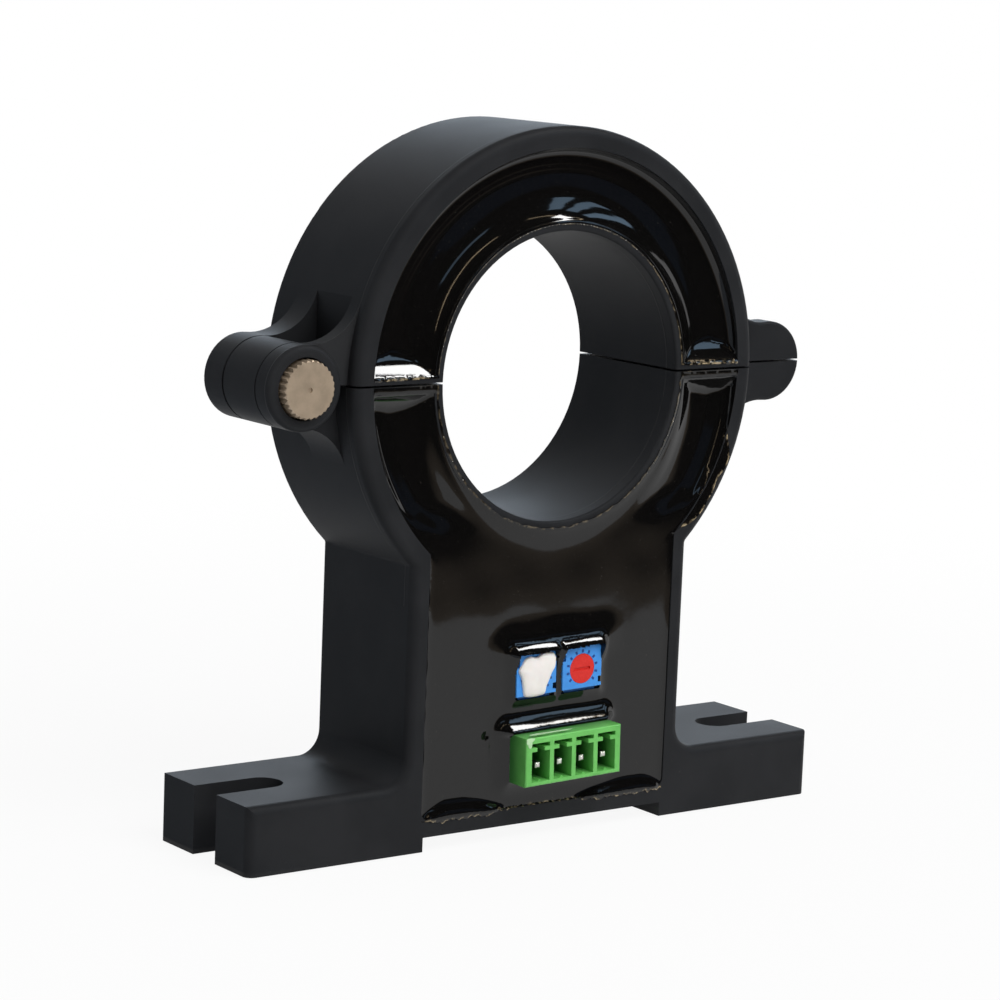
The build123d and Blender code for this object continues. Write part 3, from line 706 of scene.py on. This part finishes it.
coarse_step, fine_step, edge_step, jitter, least_gap = 0.42, 0.2, 0.22, 0.04, 0.15
holes = [corners_of(rectangle) for rectangle in (header, *trimmers)]
loops = [outline, *holes]
edge_points = np.concatenate(loops)
rows = []
for ring_r in np.arange(film_r + 0.3, trough_r, 0.32):
    rows.append(arc(ring_r, -180 + 0.6, -0.6, coarse_step))
coarse = lattice(coarse_step, sill_z, 46)
ring_share = np.hypot(coarse[:, 0], coarse[:, 1] - bore_z)
rows.append(coarse[ring_share > trough_r + 0.1])
fine = lattice(fine_step, sill_z - 1, 30)
close = np.minimum.reduce([outside(fine, rectangle) for rectangle in (header, *trimmers)])
near_sill = (fine[:, 1] - sill_z) < sill_puddle(fine[:, 0]) + 0.6
rows.append(fine[(close < 3.2) | near_sill])
for ring_r in np.arange(trough_r + 0.2, trough_r + 2.2, 0.3):
    rows.append(arc(ring_r, -48, -14, coarse_step))
filling = np.concatenate(rows)
filling = filling + np.random.default_rng(5).uniform(-jitter, jitter, filling.shape)
filling = filling[on_face(filling)]


def thinned(points, taken, gap):
    """Leaves out points that lie within a gap of an earlier point, by a grid of cells."""
    cells = {tuple(cell) for cell in np.floor(taken / gap).astype(int)}
    chosen = []
    for point in points:
        cell = tuple(np.floor(point / gap).astype(int))
        if cell not in cells:
            cells.add(cell)
            chosen.append(point)
    return np.array(chosen)


filling = thinned(filling, edge_points, least_gap)
print("points inside the outline:", len(filling))

# %% [markdown]
# The triangles are laid, those in the holes are dropped, and every point gets its height. A second
# layer behind, on the tray's floor or on the rim where a film lies over it, and a wall round each
# loop close the piece.

# %% The lower half's resin
seam_edges = []
start = 0
for loop in loops:
    count = len(loop)
    seam_edges += [(start + i, start + (i + 1) % count) for i in range(count)]
    start += count
every = np.concatenate([edge_points, filling])
weld = 1e-5
laid = delaunay_2d_cdt([Vector(point) for point in every], seam_edges, [], 0, weld)
flat = np.array([tuple(point) for point in laid[0]])
triangles = np.array([face for face in laid[2] if len(face) == 3])
triangles = triangles[on_face(flat[triangles].mean(axis=1))]
a, b, c = (flat[triangles[:, i]] for i in range(3))
turning = (b - a)[:, 0] * (c - a)[:, 1] - (b - a)[:, 1] * (c - a)[:, 0]
triangles[turning < 0] = triangles[turning < 0][:, ::-1]
used, triangles = np.unique(triangles, return_inverse=True)
triangles = triangles.reshape(-1, 3)
flat = flat[used]

heights = lower_height(flat)
from_bore = np.hypot(flat[:, 0], flat[:, 1] - bore_z)
near = 0.02
in_ring = (from_bore < trough_r + near) & (flat[:, 1] < bore_z - tray_end)
in_stem = (np.abs(flat[:, 0]) < window_half + near) & (flat[:, 1] > sill_z - near)
in_tray = (in_ring | in_stem & (flat[:, 1] < bore_z - lip_r)) & (from_bore > lip_r)
behind = np.where(in_tray, tray_floor_y, rim_y + film_back)
count = len(flat)
front_points = np.stack([flat[:, 0], rim_y - heights, flat[:, 1]], axis=1)
back_points = np.stack([flat[:, 0], behind, flat[:, 1]], axis=1)
directed = dict.fromkeys((t[i], t[(i + 1) % 3]) for t in triangles for i in range(3))
walls = [(b, a, a + count, b + count) for a, b in directed if (b, a) not in directed]
faces = [tuple(t) for t in triangles] + [tuple(count + t[::-1]) for t in triangles] + walls
lower_resin = built("lower_resin", np.concatenate([front_points, back_points]) * MM, faces, black_resin)
outward(lower_resin)
smooth_front(lower_resin)
# The same painted gold highlight on the lower resin, along its torn edges at the sill, where it crept over
# the rim, and at the lip.
film = np.zeros(count)
film_fade = (0.05, 0.26)
for torn_edge, amount in ((sill, 0.8), (right_arc[crept > 0.3], 1.0), (inner_arc, 0.25)):
    for chunk in np.array_split(np.arange(count), 40):
        gaps = np.hypot(*(flat[chunk][:, None, :] - torn_edge[None, :, :]).transpose(2, 0, 1)).min(axis=1)
        film[chunk] = np.maximum(film[chunk], amount * (1 - smooth_step(gaps, *film_fade)))
mark_edge_highlight(lower_resin, np.concatenate([film, np.zeros(count)]))
print("lower_resin", len(faces), "faces")
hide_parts("lower_potting")
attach(lower_resin, "base")

# %% [markdown]
# The header is a bright green polyester moulding. Its colour is even, but it was moulded fast, so
# faint flow marks and a slightly uneven gloss run along it. The trimmers are a clear light blue
# with a satin face, and the one bare rotor is a red that is moulded rough.

# %% Header, trimmers and rotors
mouth_y, chamber_y, ledge_y, seat_y = -15.15, -11.5, -11.3, -10.7
finish = Finish("green_header_plastic", Specular_IOR_Level=0.4)
flow = finish.noise(2.4, detail=3.0, roughness=0.6)
fine = finish.noise(0.12, detail=2.0)
x, y, z = finish.axes()
# Behind the front the green runs darker: a painted shade inside the contact chambers and down the header's
# sides.
painted_chamber_shade = y.ramp(mouth_y, chamber_y)
green = finish.mix(flow.ramp(0.3, 0.7), (0.125, 0.48, 0.095), (0.165, 0.56, 0.125))
green_plastic = finish.wear(
    Base_Color=finish.mix(painted_chamber_shade * 0.85, green, (0.020, 0.120, 0.022)),
    Roughness=0.30 + 0.14 * flow,
    Normal=finish.bump(fine, 0.015, 0.4, under=finish.bump(flow, 0.05, 0.3)),
)
dress(green_plastic, "header_body")

finish = Finish("blue_trimmer_plastic", Specular_IOR_Level=0.4)
flow = finish.noise(1.1, detail=2.0)
fine = finish.noise(0.10, detail=2.0)
x, y, z = finish.axes()
# Behind its front face the blue runs darker towards the resin: a painted shade where the trimmer sits in it.
painted_seat_shade = y.ramp(ledge_y, seat_y)
blue = finish.mix(flow, (0.045, 0.27, 0.76), (0.062, 0.33, 0.86))
blue_plastic = finish.wear(
    Base_Color=finish.mix(painted_seat_shade * 0.6, blue, (0.015, 0.10, 0.36)),
    Roughness=0.34 + 0.12 * flow,
    Normal=finish.bump(fine, 0.012, 0.5),
)
dress(blue_plastic, "left_trimmer_body", "right_trimmer_body")

finish = Finish("red_rotor_plastic", Specular_IOR_Level=0.35)
rough = finish.noise(0.35, detail=3.0)
red_plastic = finish.wear(
    Base_Color=finish.mix(rough, (0.62, 0.018, 0.012), (0.80, 0.034, 0.026)),
    Roughness=0.45 + 0.15 * rough,
    Normal=finish.bump(rough, 0.05, 0.6),
)
dress(red_plastic, "left_trimmer_rotor", "right_trimmer_rotor")

# %% [markdown]
# The hinge pin is nickelled steel with a cold-headed, slightly frosted end, so much of its light is
# scattered and it looks tan rather than mirror-bright. The contacts are tinned, with a painted shade
# darkening them behind the tip, inside their chambers, and the insert is brass. Each has fine
# scratches, which are noise stretched along one axis.

# %% Metals
# How far behind the tip, in mm, the painted shade of a recess begins and is full.
unshaded_tip, fully_shaded = 0.05, 0.45


def drawn_metal(name, colour, worn_colour, roughness, metallic, stretch, *names, shade_amount=0.0):
    """A metal with fine drawing marks along the axis where stretch is small, darkened behind its tip by a
    painted recess shade of the given strength.
    """
    finish = Finish(name)
    marks_at = finish.add("ShaderNodeMapping", {}, {"Vector": finish.place, "Scale": stretch})
    marks = finish.noise(0.25, detail=3.0, at=marks_at)
    patches = finish.noise(1.6, detail=3.0)
    x, y, z = finish.axes()
    tip_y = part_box(names[0])[0][1] / MM
    # Painted shade: behind the tip the metal runs to a dark green-black, as in the shade of a chamber.
    painted_pin_shade = y.ramp(tip_y + unshaded_tip, tip_y + fully_shaded) * shade_amount
    metal = finish.mix(patches.ramp(0.3, 0.75), colour, worn_colour)
    material = finish.wear(
        Base_Color=finish.mix(painted_pin_shade, metal, (0.02, 0.03, 0.02)),
        Roughness=roughness + 0.14 * marks,
        Metallic=metallic + 0.08 * patches,
        Normal=finish.bump(marks, 0.012, 0.5),
    )
    dress(material, *names)


across_y, along_y, along_z = (1.0, 1.0, 4.0), (1.0, 0.08, 1.0), (1.0, 1.0, 0.1)
nickel, worn_nickel = (0.56, 0.44, 0.32), (0.46, 0.36, 0.26)
tin, worn_tin = (0.86, 0.83, 0.79), (0.70, 0.67, 0.63)
brass, worn_brass = (0.78, 0.58, 0.27), (0.60, 0.42, 0.18)
steel, worn_steel = (0.050, 0.048, 0.046), (0.085, 0.080, 0.076)
copper, worn_copper = (0.80, 0.46, 0.28), (0.62, 0.32, 0.18)
contacts = [f"header_pin_{number}" for number in (1, 2, 3, 4)]
leads = ("left_hall_leads", "right_hall_leads")
drawn_metal("frosted_nickel", nickel, worn_nickel, 0.30, 0.42, across_y, "hinge_pin")
drawn_metal("tinned_contact", tin, worn_tin, 0.30, 0.92, along_y, *contacts, shade_amount=0.85)
drawn_metal("turned_brass", brass, worn_brass, 0.28, 0.85, along_z, "threaded_insert")
drawn_metal("blackened_steel", steel, worn_steel, 0.32, 0.80, along_z, "closing_screw")
drawn_metal("lead_copper", copper, worn_copper, 0.30, 0.85, along_z, *leads)

# %% [markdown]
# Inside the resin lie the board, the chips and the two halves of the core. They hardly show, but
# the part opens, and a buyer may look: the board's lacquer is pitted, and the core is a ferrite
# with a sintered speckle.

# %% Board, chips and core
def speckled(name, colour, speck_colour, grain_mm, roughness, metallic, *names):
    """A finish with fine specks of another colour and a grain to match."""
    finish = Finish(name, Metallic=metallic)
    speck = finish.noise(grain_mm, detail=4.0, roughness=0.65)
    material = finish.wear(
        Base_Color=finish.mix(speck.ramp(0.45, 0.68), colour, speck_colour),
        Roughness=roughness + 0.2 * speck,
        Normal=finish.bump(speck, 0.02, 0.5),
    )
    dress(material, *names)


chips = ("amplifier_chip", "left_hall_element", "right_hall_element")
cores = ("lower_core", "upper_core")
speckled("board_lacquer", (0.012, 0.065, 0.030), (0.030, 0.120, 0.055), 0.5, 0.30, 0.0, "circuit_board")
speckled("chip_epoxy", (0.016, 0.016, 0.017), (0.040, 0.040, 0.042), 0.12, 0.50, 0.0, *chips)
speckled("ferrite_core", (0.075, 0.073, 0.078), (0.150, 0.145, 0.150), 0.3, 0.45, 0.3, *cores)

# %% [markdown]
# A dial of short dark ticks runs round each rotor, open at the foot. Eleven copies of one small bar
# on an arc are a job for Geometry Nodes: a row of points, a rule for where each goes, and a turned
# instance on each.

# %% Dial ticks
finish = Finish("dial_ink", Specular_IOR_Level=0.3)
worn_ink = finish.noise(0.2, detail=2.0)
dial_ink = finish.wear(
    Base_Color=finish.mix(worn_ink, (0.012, 0.045, 0.22), (0.022, 0.085, 0.34)),
    Roughness=0.45 + 0.15 * worn_ink,
)
faces_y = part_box("right_trimmer_body")[0][1] / MM
form = Form(
    "dial_ticks", Ticks=11, First_Angle=-38.0, Step=25.6, Dial_Radius=2.5, Width=0.32, Length=0.46,
    Thickness=0.05, Face=faces_y,
)
tick_size = form.point(*(form.size(label) * MM for label in ("Length", "Thickness", "Width")))
tick = form.add("GeometryNodeMeshCube", {}, {"Size": tick_size})
dials = []
for name in ("right_trimmer_rotor", "left_trimmer_rotor"):
    low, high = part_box(name)
    row = form.add("GeometryNodeMeshLine", {}, {"Count": form.size("Ticks")})
    number = form.add("GeometryNodeInputIndex")
    angle = (form.size("First_Angle") + form.size("Step") * number) * (math.pi / 180)
    placed = form.moved(
        row,
        (low[0] + high[0]) / 2 + form.size("Dial_Radius") * MM * angle.math("COSINE"),
        form.size("Face") * MM,
        (low[2] + high[2]) / 2 + form.size("Dial_Radius") * MM * angle.math("SINE"),
    )
    dials.append(form.add(
        "GeometryNodeInstanceOnPoints", {},
        {"Points": placed, "Instance": tick, "Rotation": form.point(0.0, -1 * angle, 0.0)},
    ))
dial_ticks = form.mesh(form.join(*dials), dial_ink)
outward(dial_ticks)
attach(dial_ticks, "base")

# %% [markdown]
# Once the left trimmer was set, someone sealed it with a dab of white glue. It ran down the face and
# stayed off the right edge, and there is some clear glue at the header's corner and over its top. A
# dab is a closed outline drawn in a plane, swollen towards its middle: rings of points from the
# outline to the centre, each raised by a rounded profile. The dab over the top isn't seated: its
# plane is edge_lift above the header, and it swells down towards it.

# %% White and clear glue
finish = Finish("white_glue", Specular_IOR_Level=0.35, Subsurface_Weight=0.08, Subsurface_Scale=0.001)
skin = finish.noise(0.8, detail=3.0)
white_glue = finish.wear(
    Base_Color=finish.mix(skin, (0.90, 0.84, 0.80), (0.94, 0.90, 0.87)),
    Roughness=0.36 + 0.16 * skin,
    Normal=finish.bump(skin, 0.06, 0.3),
)
finish = Finish("clear_glue", Specular_IOR_Level=0.5)
skin = finish.noise(0.5, detail=2.0)
clear_glue = finish.wear(
    Base_Color=finish.mix(skin, (0.36, 0.66, 0.30), (0.62, 0.84, 0.55)),
    Roughness=0.12 + 0.12 * skin,
)


inward_power, bulge_power = 0.8, 0.55


def dab(name, outline, origin, right_way, up_way, thickness, rings=14, spokes=96, glue=white_glue):
    """A dab of glue: outline holds points in mm from origin along right_way and up_way.

    It swells by thickness mm along right_way x up_way, and the other way where that is negative.
    """
    shape = np.array([*outline, outline[0]], float)
    walked = np.concatenate([[0.0], np.cumsum(np.hypot(*np.diff(shape, axis=0).T))])
    stops = np.linspace(0, walked[-1], spokes, endpoint=False)
    edge = np.stack([np.interp(stops, walked, shape[:, axis]) for axis in (0, 1)], axis=1)
    for smoothing in range(2):
        edge = 0.5 * edge + 0.25 * (np.roll(edge, 1, axis=0) + np.roll(edge, -1, axis=0))
    middle = edge.mean(axis=0)
    plane = np.array([right_way, up_way])
    normal = np.cross(right_way, up_way)
    points, faces = [], []
    for ring in range(rings):
        share = 1 - ring / rings
        spots = middle + (edge - middle) * math.sin(share * math.pi / 2) ** inward_power
        profile = math.cos(share * math.pi / 2) ** bulge_power if ring else 0.0
        heights = thickness * profile * (1 + 0.05 * field(spots, 2.4, 31))
        points += list(origin + spots @ plane + heights[:, None] * normal)
    top = len(points)
    points.append(origin + middle @ plane + thickness * normal)
    for ring in range(rings - 1):
        for spoke in range(spokes):
            a, b = ring * spokes + spoke, ring * spokes + (spoke + 1) % spokes
            faces.append((a, b, b + spokes, a + spokes))
    last = (rings - 1) * spokes
    faces += [(last + spoke, last + (spoke + 1) % spokes, top) for spoke in range(spokes)]
    faces.append(tuple(range(spokes))[::-1])
    piece = built(name, [tuple(point * MM) for point in points], faces, glue)
    outward(piece)
    smooth_front(piece, 50)
    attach(piece, "base")
    return piece


glue_back_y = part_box("sealing_glue")[1][1] / MM
embed = 0.02
seal = dab(
    "trimmer_seal",
    [
        (-6.0, 23.9), (-5.6, 24.4), (-4.95, 25.5), (-4.1, 25.8), (-2.9, 25.5), (-2.0, 26.1), (-0.1, 26.1),
        (0.35, 25.4), (0.30, 24.0), (-0.3, 23.2), (-0.7, 22.2), (-1.2, 21.3), (-1.4, 20.2), (-3.2, 20.0),
        (-4.85, 20.1), (-5.1, 21.1), (-5.35, 22.6),
    ],
    np.array([0.0, glue_back_y + embed, 0.0]), (1.0, 0.0, 0.0), (0.0, 0.0, 1.0), 0.75,
)
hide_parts("sealing_glue")

header_low, header_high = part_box("header_body")
tilt_way = np.array([math.cos(board_tilt), 0.0, math.sin(board_tilt)])
upward = np.array([-tilt_way[2], 0.0, tilt_way[0]])
tilt_drop = 0.43
corner_swell, edge_lift, edge_swell = 0.14, 0.42, -0.09
header_corner = np.array([header_low[0] / MM + embed, header_low[1] / MM, header_high[2] / MM - tilt_drop])
dab(
    "corner_glue",
    [
        (0.02, 0.02), (0.7, 0.08), (1.5, -0.02), (1.35, -0.32), (0.95, -0.45), (1.0, -0.95), (0.75, -1.5),
        (0.35, -1.25), (0.25, -0.8), (0.02, -0.75),
    ],
    header_corner + np.array([0.0, embed, 0.0]), tilt_way, upward, corner_swell,
    rings=8, spokes=40, glue=clear_glue,
)
dab(
    "edge_glue",
    [
        (0.6, 0.15), (2.6, 0.1), (4.8, 0.2), (7.4, 0.15), (8.3, 0.35), (6.9, 0.6), (4.2, 0.55), (2.2, 0.75),
        (0.8, 0.5),
    ],
    header_corner + edge_lift * upward, tilt_way, np.array([0.0, 1.0, 0.0]), edge_swell,
    rings=8, spokes=64, glue=clear_glue,
)

# %% [markdown]
# The resin was poured while the two halves were closed, and tore when they were first opened. Small
# chips of it lie along the tear and on the lip. A chip is a coarse ball, squashed and turned at
# random, and a node tree puts one on every point of a row.

# %% Chips along the torn film
finish = Finish("resin_chips", Specular_IOR_Level=0.5)
# The chips are of the black resin; the pale tone of many of them is a painted glint along the tear.
chip_tone_and_glint = finish.noise(0.5, detail=1.0)
chip_finish = finish.wear(
    Base_Color=finish.mix(chip_tone_and_glint.ramp(0.35, 0.6), (0.05, 0.045, 0.04), (0.62, 0.58, 0.52)),
    Roughness=0.25 + 0.2 * chip_tone_and_glint,
)


def chips_along(name, stretches, body, seed):
    """Scatters chips on arcs about the bore: (radius, first angle, last angle, how many)."""
    form = Form(name, Chip=0.085, Spread=0.10, Front=rim_y, Bore_Height=bore_z, Seed=seed)
    along_row, per_stretch, per_draw = 7.31, 3.7, 11.0
    ball = form.add("GeometryNodeMeshIcoSphere", {}, {"Radius": form.size("Chip") * MM, "Subdivisions": 1})
    scattered = []
    for order, (radius, first, last, count) in enumerate(stretches):
        row = form.add("GeometryNodeMeshLine", {}, {"Count": count})
        number = form.add("GeometryNodeInputIndex")
        chance = []
        for k in range(7):
            draw = form.point(number * along_row, order * per_stretch, per_draw * k)
            chance.append(form.wobble(draw, form.size("Seed")))
        angle = (first + (last - first) * (number + 2.5 * chance[0]) / count) * (math.pi / 180)
        reach = radius + form.size("Spread") * 4 * chance[1]
        placed = form.moved(
            row,
            reach * angle.math("COSINE") * MM,
            (form.size("Front") - 0.10) * MM,
            (form.size("Bore_Height") + reach * angle.math("SINE")) * MM,
        )
        scattered.append(form.add(
            "GeometryNodeInstanceOnPoints", {},
            {
                "Points": placed,
                "Instance": ball,
                "Rotation": form.point(9 * chance[2], 9 * chance[3], 9 * chance[4]),
                "Scale": form.point(0.8 + 2.2 * chance[5], 0.5 + chance[6], 0.8 - 2.0 * chance[5]),
            },
        ))
    chips = form.mesh(form.join(*scattered), chip_finish)
    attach(chips, body)


upper_stretches = [(21.0, 62, 118, 34), (21.0, 8, 60, 10), (21.0, 120, 172, 10)]
lower_stretches = [(21.05, 200, 300, 22), (21.05, 300, 345, 8)]
chips_along("upper_chips", upper_stretches, "upper_half", 41.0)
chips_along("lower_chips", lower_stretches, "base", 42.0)

# %% [markdown]
# The camera repeats the photograph's: it stands to the left of the potted face and a little above
# it, and leans by two degrees. Its place and lens come from a fit of the ring, the feet and the
# slots to the picture.

# %% Camera
camera_azimuth, camera_elevation, camera_lean = -36.11, 8.91, 2.19
camera_place = Vector((-277.1, -367.2, 120.6)) * MM


def heading(azimuth, elevation):
    """A direction in degrees: azimuth 0 is in front of the potted face and turns to the right."""
    a, e = math.radians(azimuth), math.radians(elevation)
    return Vector((math.sin(a) * math.cos(e), -math.cos(a) * math.cos(e), math.sin(e)))


backward = heading(camera_azimuth, camera_elevation)
level_right = heading(camera_azimuth + 90, 0)
level_up = backward.cross(level_right)
lean = math.radians(camera_lean)
right = level_right * math.cos(lean) + level_up * math.sin(lean)
up = backward.cross(right)
camera = linked("camera", bpy.data.cameras.new("camera"))
camera.matrix_world = Matrix((
    (right.x, up.x, backward.x, camera_place.x),
    (right.y, up.y, backward.y, camera_place.y),
    (right.z, up.z, backward.z, camera_place.z),
    (0, 0, 0, 1),
))
camera.data.lens = 119.67
camera.data.shift_x = 0.04295
camera.data.shift_y = -0.02276
camera.data.clip_start = 0.01
camera.data.clip_end = 20.0
scene.camera = camera
print("camera at", [round(c, 4) for c in camera_place])

# %% [markdown]
# A black object is seen only by what it reflects, so the room matters as much as the finish. The
# photograph's room can be read in the resin: a pale table that ends a hand's breadth in front, a
# dark room behind the camera, tall cool windows high on the right, a narrow warm strip and a white
# ceiling panel. The floor and the world are white where the camera, a gloss or glass looks at them.

# %% Floor and world
floor_reach, floor_z = 3.0, -0.0002


def flat_sheet(name, corners, material, only_mirrored=False):
    """A sheet through pairs of corners, seen only in reflections when only_mirrored is set."""
    faces = [(i, i + 1, i + 3, i + 2) for i in range(0, len(corners) - 2, 2)]
    sheet = built(name, corners, faces, material)
    if only_mirrored:
        sheet.visible_camera = False
        sheet.visible_shadow = False
        sheet.visible_diffuse = False


def seen_directly(tree):
    """1 for rays from the camera and for those that mirrors or glass send on, otherwise 0."""
    path = tree.tree.nodes.new("ShaderNodeLightPath")
    camera_ray, glossy_ray, glass_ray = (
        Value(tree, path.outputs[f"Is {kind} Ray"]) for kind in ("Camera", "Glossy", "Transmission")
    )
    return (camera_ray + glossy_ray + glass_ray).clamp(0.0, 1.0)


finish = Finish("pale_floor", Roughness=0.9)
finish.wear(Base_Color=(0.8, 0.8, 0.8))
glow = finish.tree.nodes.new("ShaderNodeEmission")
glow.inputs["Strength"].default_value = 1.0
x, y, z = finish.axes()
distance = (x * x + y * y).math("SQRT")
blend = finish.tree.nodes.new("ShaderNodeMixShader")
finish.set(blend.inputs[0], seen_directly(finish) * distance.ramp(50, 300, 0.92, 1.0))
finish.tree.links.new(finish.shader.outputs[0], blend.inputs[1])
finish.tree.links.new(glow.outputs[0], blend.inputs[2])
finish.tree.links.new(blend.outputs[0], finish.tree.nodes["Material Output"].inputs["Surface"])
flat_sheet(
    "studio_floor",
    [(a * floor_reach, b * floor_reach, floor_z) for b in (-1, 1) for a in (-1, 1)],
    finish.material,
)

world = bpy.data.worlds.new("studio")
scene.world = world
world.use_nodes = True
room = Tree(world.node_tree)
background = world.node_tree.nodes["Background"]
room.set(background.inputs["Color"], (1.0, 1.0, 1.0))
room.set(background.inputs["Strength"], 0.25 + 0.75 * seen_directly(room))

# %% [markdown]
# Photographers set black cards round a glossy object to give its reflections some depth. One dark
# sheet does it here: it lies on the floor from the table's edge, rises behind the camera and
# arches overhead. The camera doesn't see it, and behind the object the studio stays white.

# %% Dark card round the front
table_edge, verge_width = -0.134, 0.075
card_reach, card_half_width, card_lift = 1.3, 4.0, 0.0005
card_turns, card_arch = 16, 128
card_rows = [(table_edge, card_lift)]
for step in range(card_turns + 1):
    angle = math.radians(card_arch * step / card_turns)
    card_rows.append((-card_reach * math.cos(angle), card_lift + card_reach * math.sin(angle)))
card = [(side * card_half_width, *row) for row in card_rows for side in (-1, 1)]
finish = Finish("dark_card", Roughness=1.0, Specular_IOR_Level=0.0)
x, y, z = finish.axes()
verge = (-1 * y).ramp(-table_edge / MM, (verge_width - table_edge) / MM, 1.0, 0.0) * (z < 100)
finish.wear(Base_Color=finish.mix(verge, (0.014, 0.012, 0.011), (0.40, 0.33, 0.26)))
flat_sheet("dark_card", card, finish.material, only_mirrored=True)

# %% [markdown]
# A second card, cool grey, stands behind on the left, where the plastic's flank looks. Both cards
# are seen only in the gloss: they cast no shadow and light nothing.

# %% Grey card behind on the left
grey_reach, grey_height, grey_lift = 1.2, 0.95, 0.0006
grey_turns, grey_start, grey_arch = 12, 100, 104
inner_corners = [(-0.06, table_edge, grey_lift)]
inner_corners += [(-0.03, 0.03 + 0.02 * step, grey_lift) for step in range(1, grey_turns + 1)]
grey_floor, grey_wall = [], []
for step, inner_corner in enumerate(inner_corners):
    turn = math.radians(grey_start - grey_arch * step / grey_turns)
    foot = (-grey_reach * math.sin(turn), grey_reach * math.cos(turn))
    grey_floor += [inner_corner, (*foot, grey_lift)]
    grey_wall += [(*foot, grey_lift), (*foot, grey_height)]
finish = Finish("grey_card", Roughness=1.0, Specular_IOR_Level=0.0, Emission_Strength=1.0)
cloudy = finish.noise(400.0, detail=1.0)
cool_grey = finish.mix(cloudy, (0.32, 0.36, 0.42), (0.46, 0.50, 0.55))
finish.wear(Base_Color=(0.0, 0.0, 0.0), Emission_Color=cool_grey)
flat_sheet("grey_card_floor", grey_floor, finish.material, only_mirrored=True)
flat_sheet("grey_card_wall", grey_wall, finish.material, only_mirrored=True)

# %% [markdown]
# Two kinds of light share the work. The fill lamps colour the object evenly and are kept out of its
# reflections. The panels are only ever seen mirrored in the gloss, each for one highlight in the
# photograph: a ceiling panel for the white lines, three tall windows for the blue panes, a far wall
# for the deep blue in the channel, narrow gold strips where a warm edge runs along the lip, and a
# pale sky behind for the ring's top.

# %% Lamps
ring_middle = Vector((0.0, 0.0, 0.06))


def lamp(name, place, size, power, colour=(1.0, 1.0, 1.0), height=None):
    """A soft rectangular lamp at place that looks at the ring's middle, in metres and watts."""
    light = bpy.data.lights.new(name, "AREA")
    light.shape = "RECTANGLE"
    light.size = size
    light.size_y = height or size
    light.energy = power
    light.color = colour
    lamp_object = linked(name, light)
    lamp_object.location = place
    lamp_object.rotation_euler = (ring_middle - place).to_track_quat("-Z", "Y").to_euler()
    lamp_object.visible_camera = False
    return lamp_object


def panel(name, start, end, width, brightness, colour=(1.0, 1.0, 1.0), distance=0.9):
    """A panel seen only in reflections, from one direction to another, in degrees."""
    first, last = (ring_middle + distance * heading(*corner) for corner in (start, end))
    length = (last - first).length
    middle = (first + last) / 2
    power = brightness * math.pi * width * length
    shine = lamp(name, middle, width, power, colour, height=length)
    back = (middle - ring_middle).normalized()
    side = (last - first).normalized().cross(back).normalized()
    shine.rotation_euler = Matrix((side, back.cross(side), back)).transposed().to_euler()
    shine.visible_diffuse = False


window_blue = (0.50, 0.74, 1.0)
wall_blue = (0.30, 0.55, 1.0)
strip_gold = (1.0, 0.78, 0.50)
panel("ceiling_panel", (50, 48), (75, 52), 0.08, 26.0)
for number, azimuth in enumerate((40, 51, 64)):
    panel(f"window_{number + 1}", (azimuth, 21), (azimuth + 3, 39), 0.085, 3.0, window_blue)
panel("left_window", (4, 14), (16, 26), 0.07, 1.6, window_blue)
panel("far_wall", (24, 5), (60, 5), 0.15, 0.10, wall_blue, distance=1.1)
panel("left_strip", (-24, 12), (10, 42), 0.010, 9.0, strip_gold)
panel("right_strip", (30, 44), (84, 46), 0.010, 7.0, strip_gold)
panel("back_sky", (122, 18), (166, 18), 0.26, 3.0, (0.66, 0.82, 1.0), distance=1.0)

for name, azimuth, elevation, power in (("fill", 12, 46, 8.5), ("top_fill", 60, 78, 1.6)):
    fill = lamp(name, ring_middle + heading(azimuth, elevation), 0.7, power)
    fill.visible_glossy = False
scene.view_settings.view_transform = "Standard"
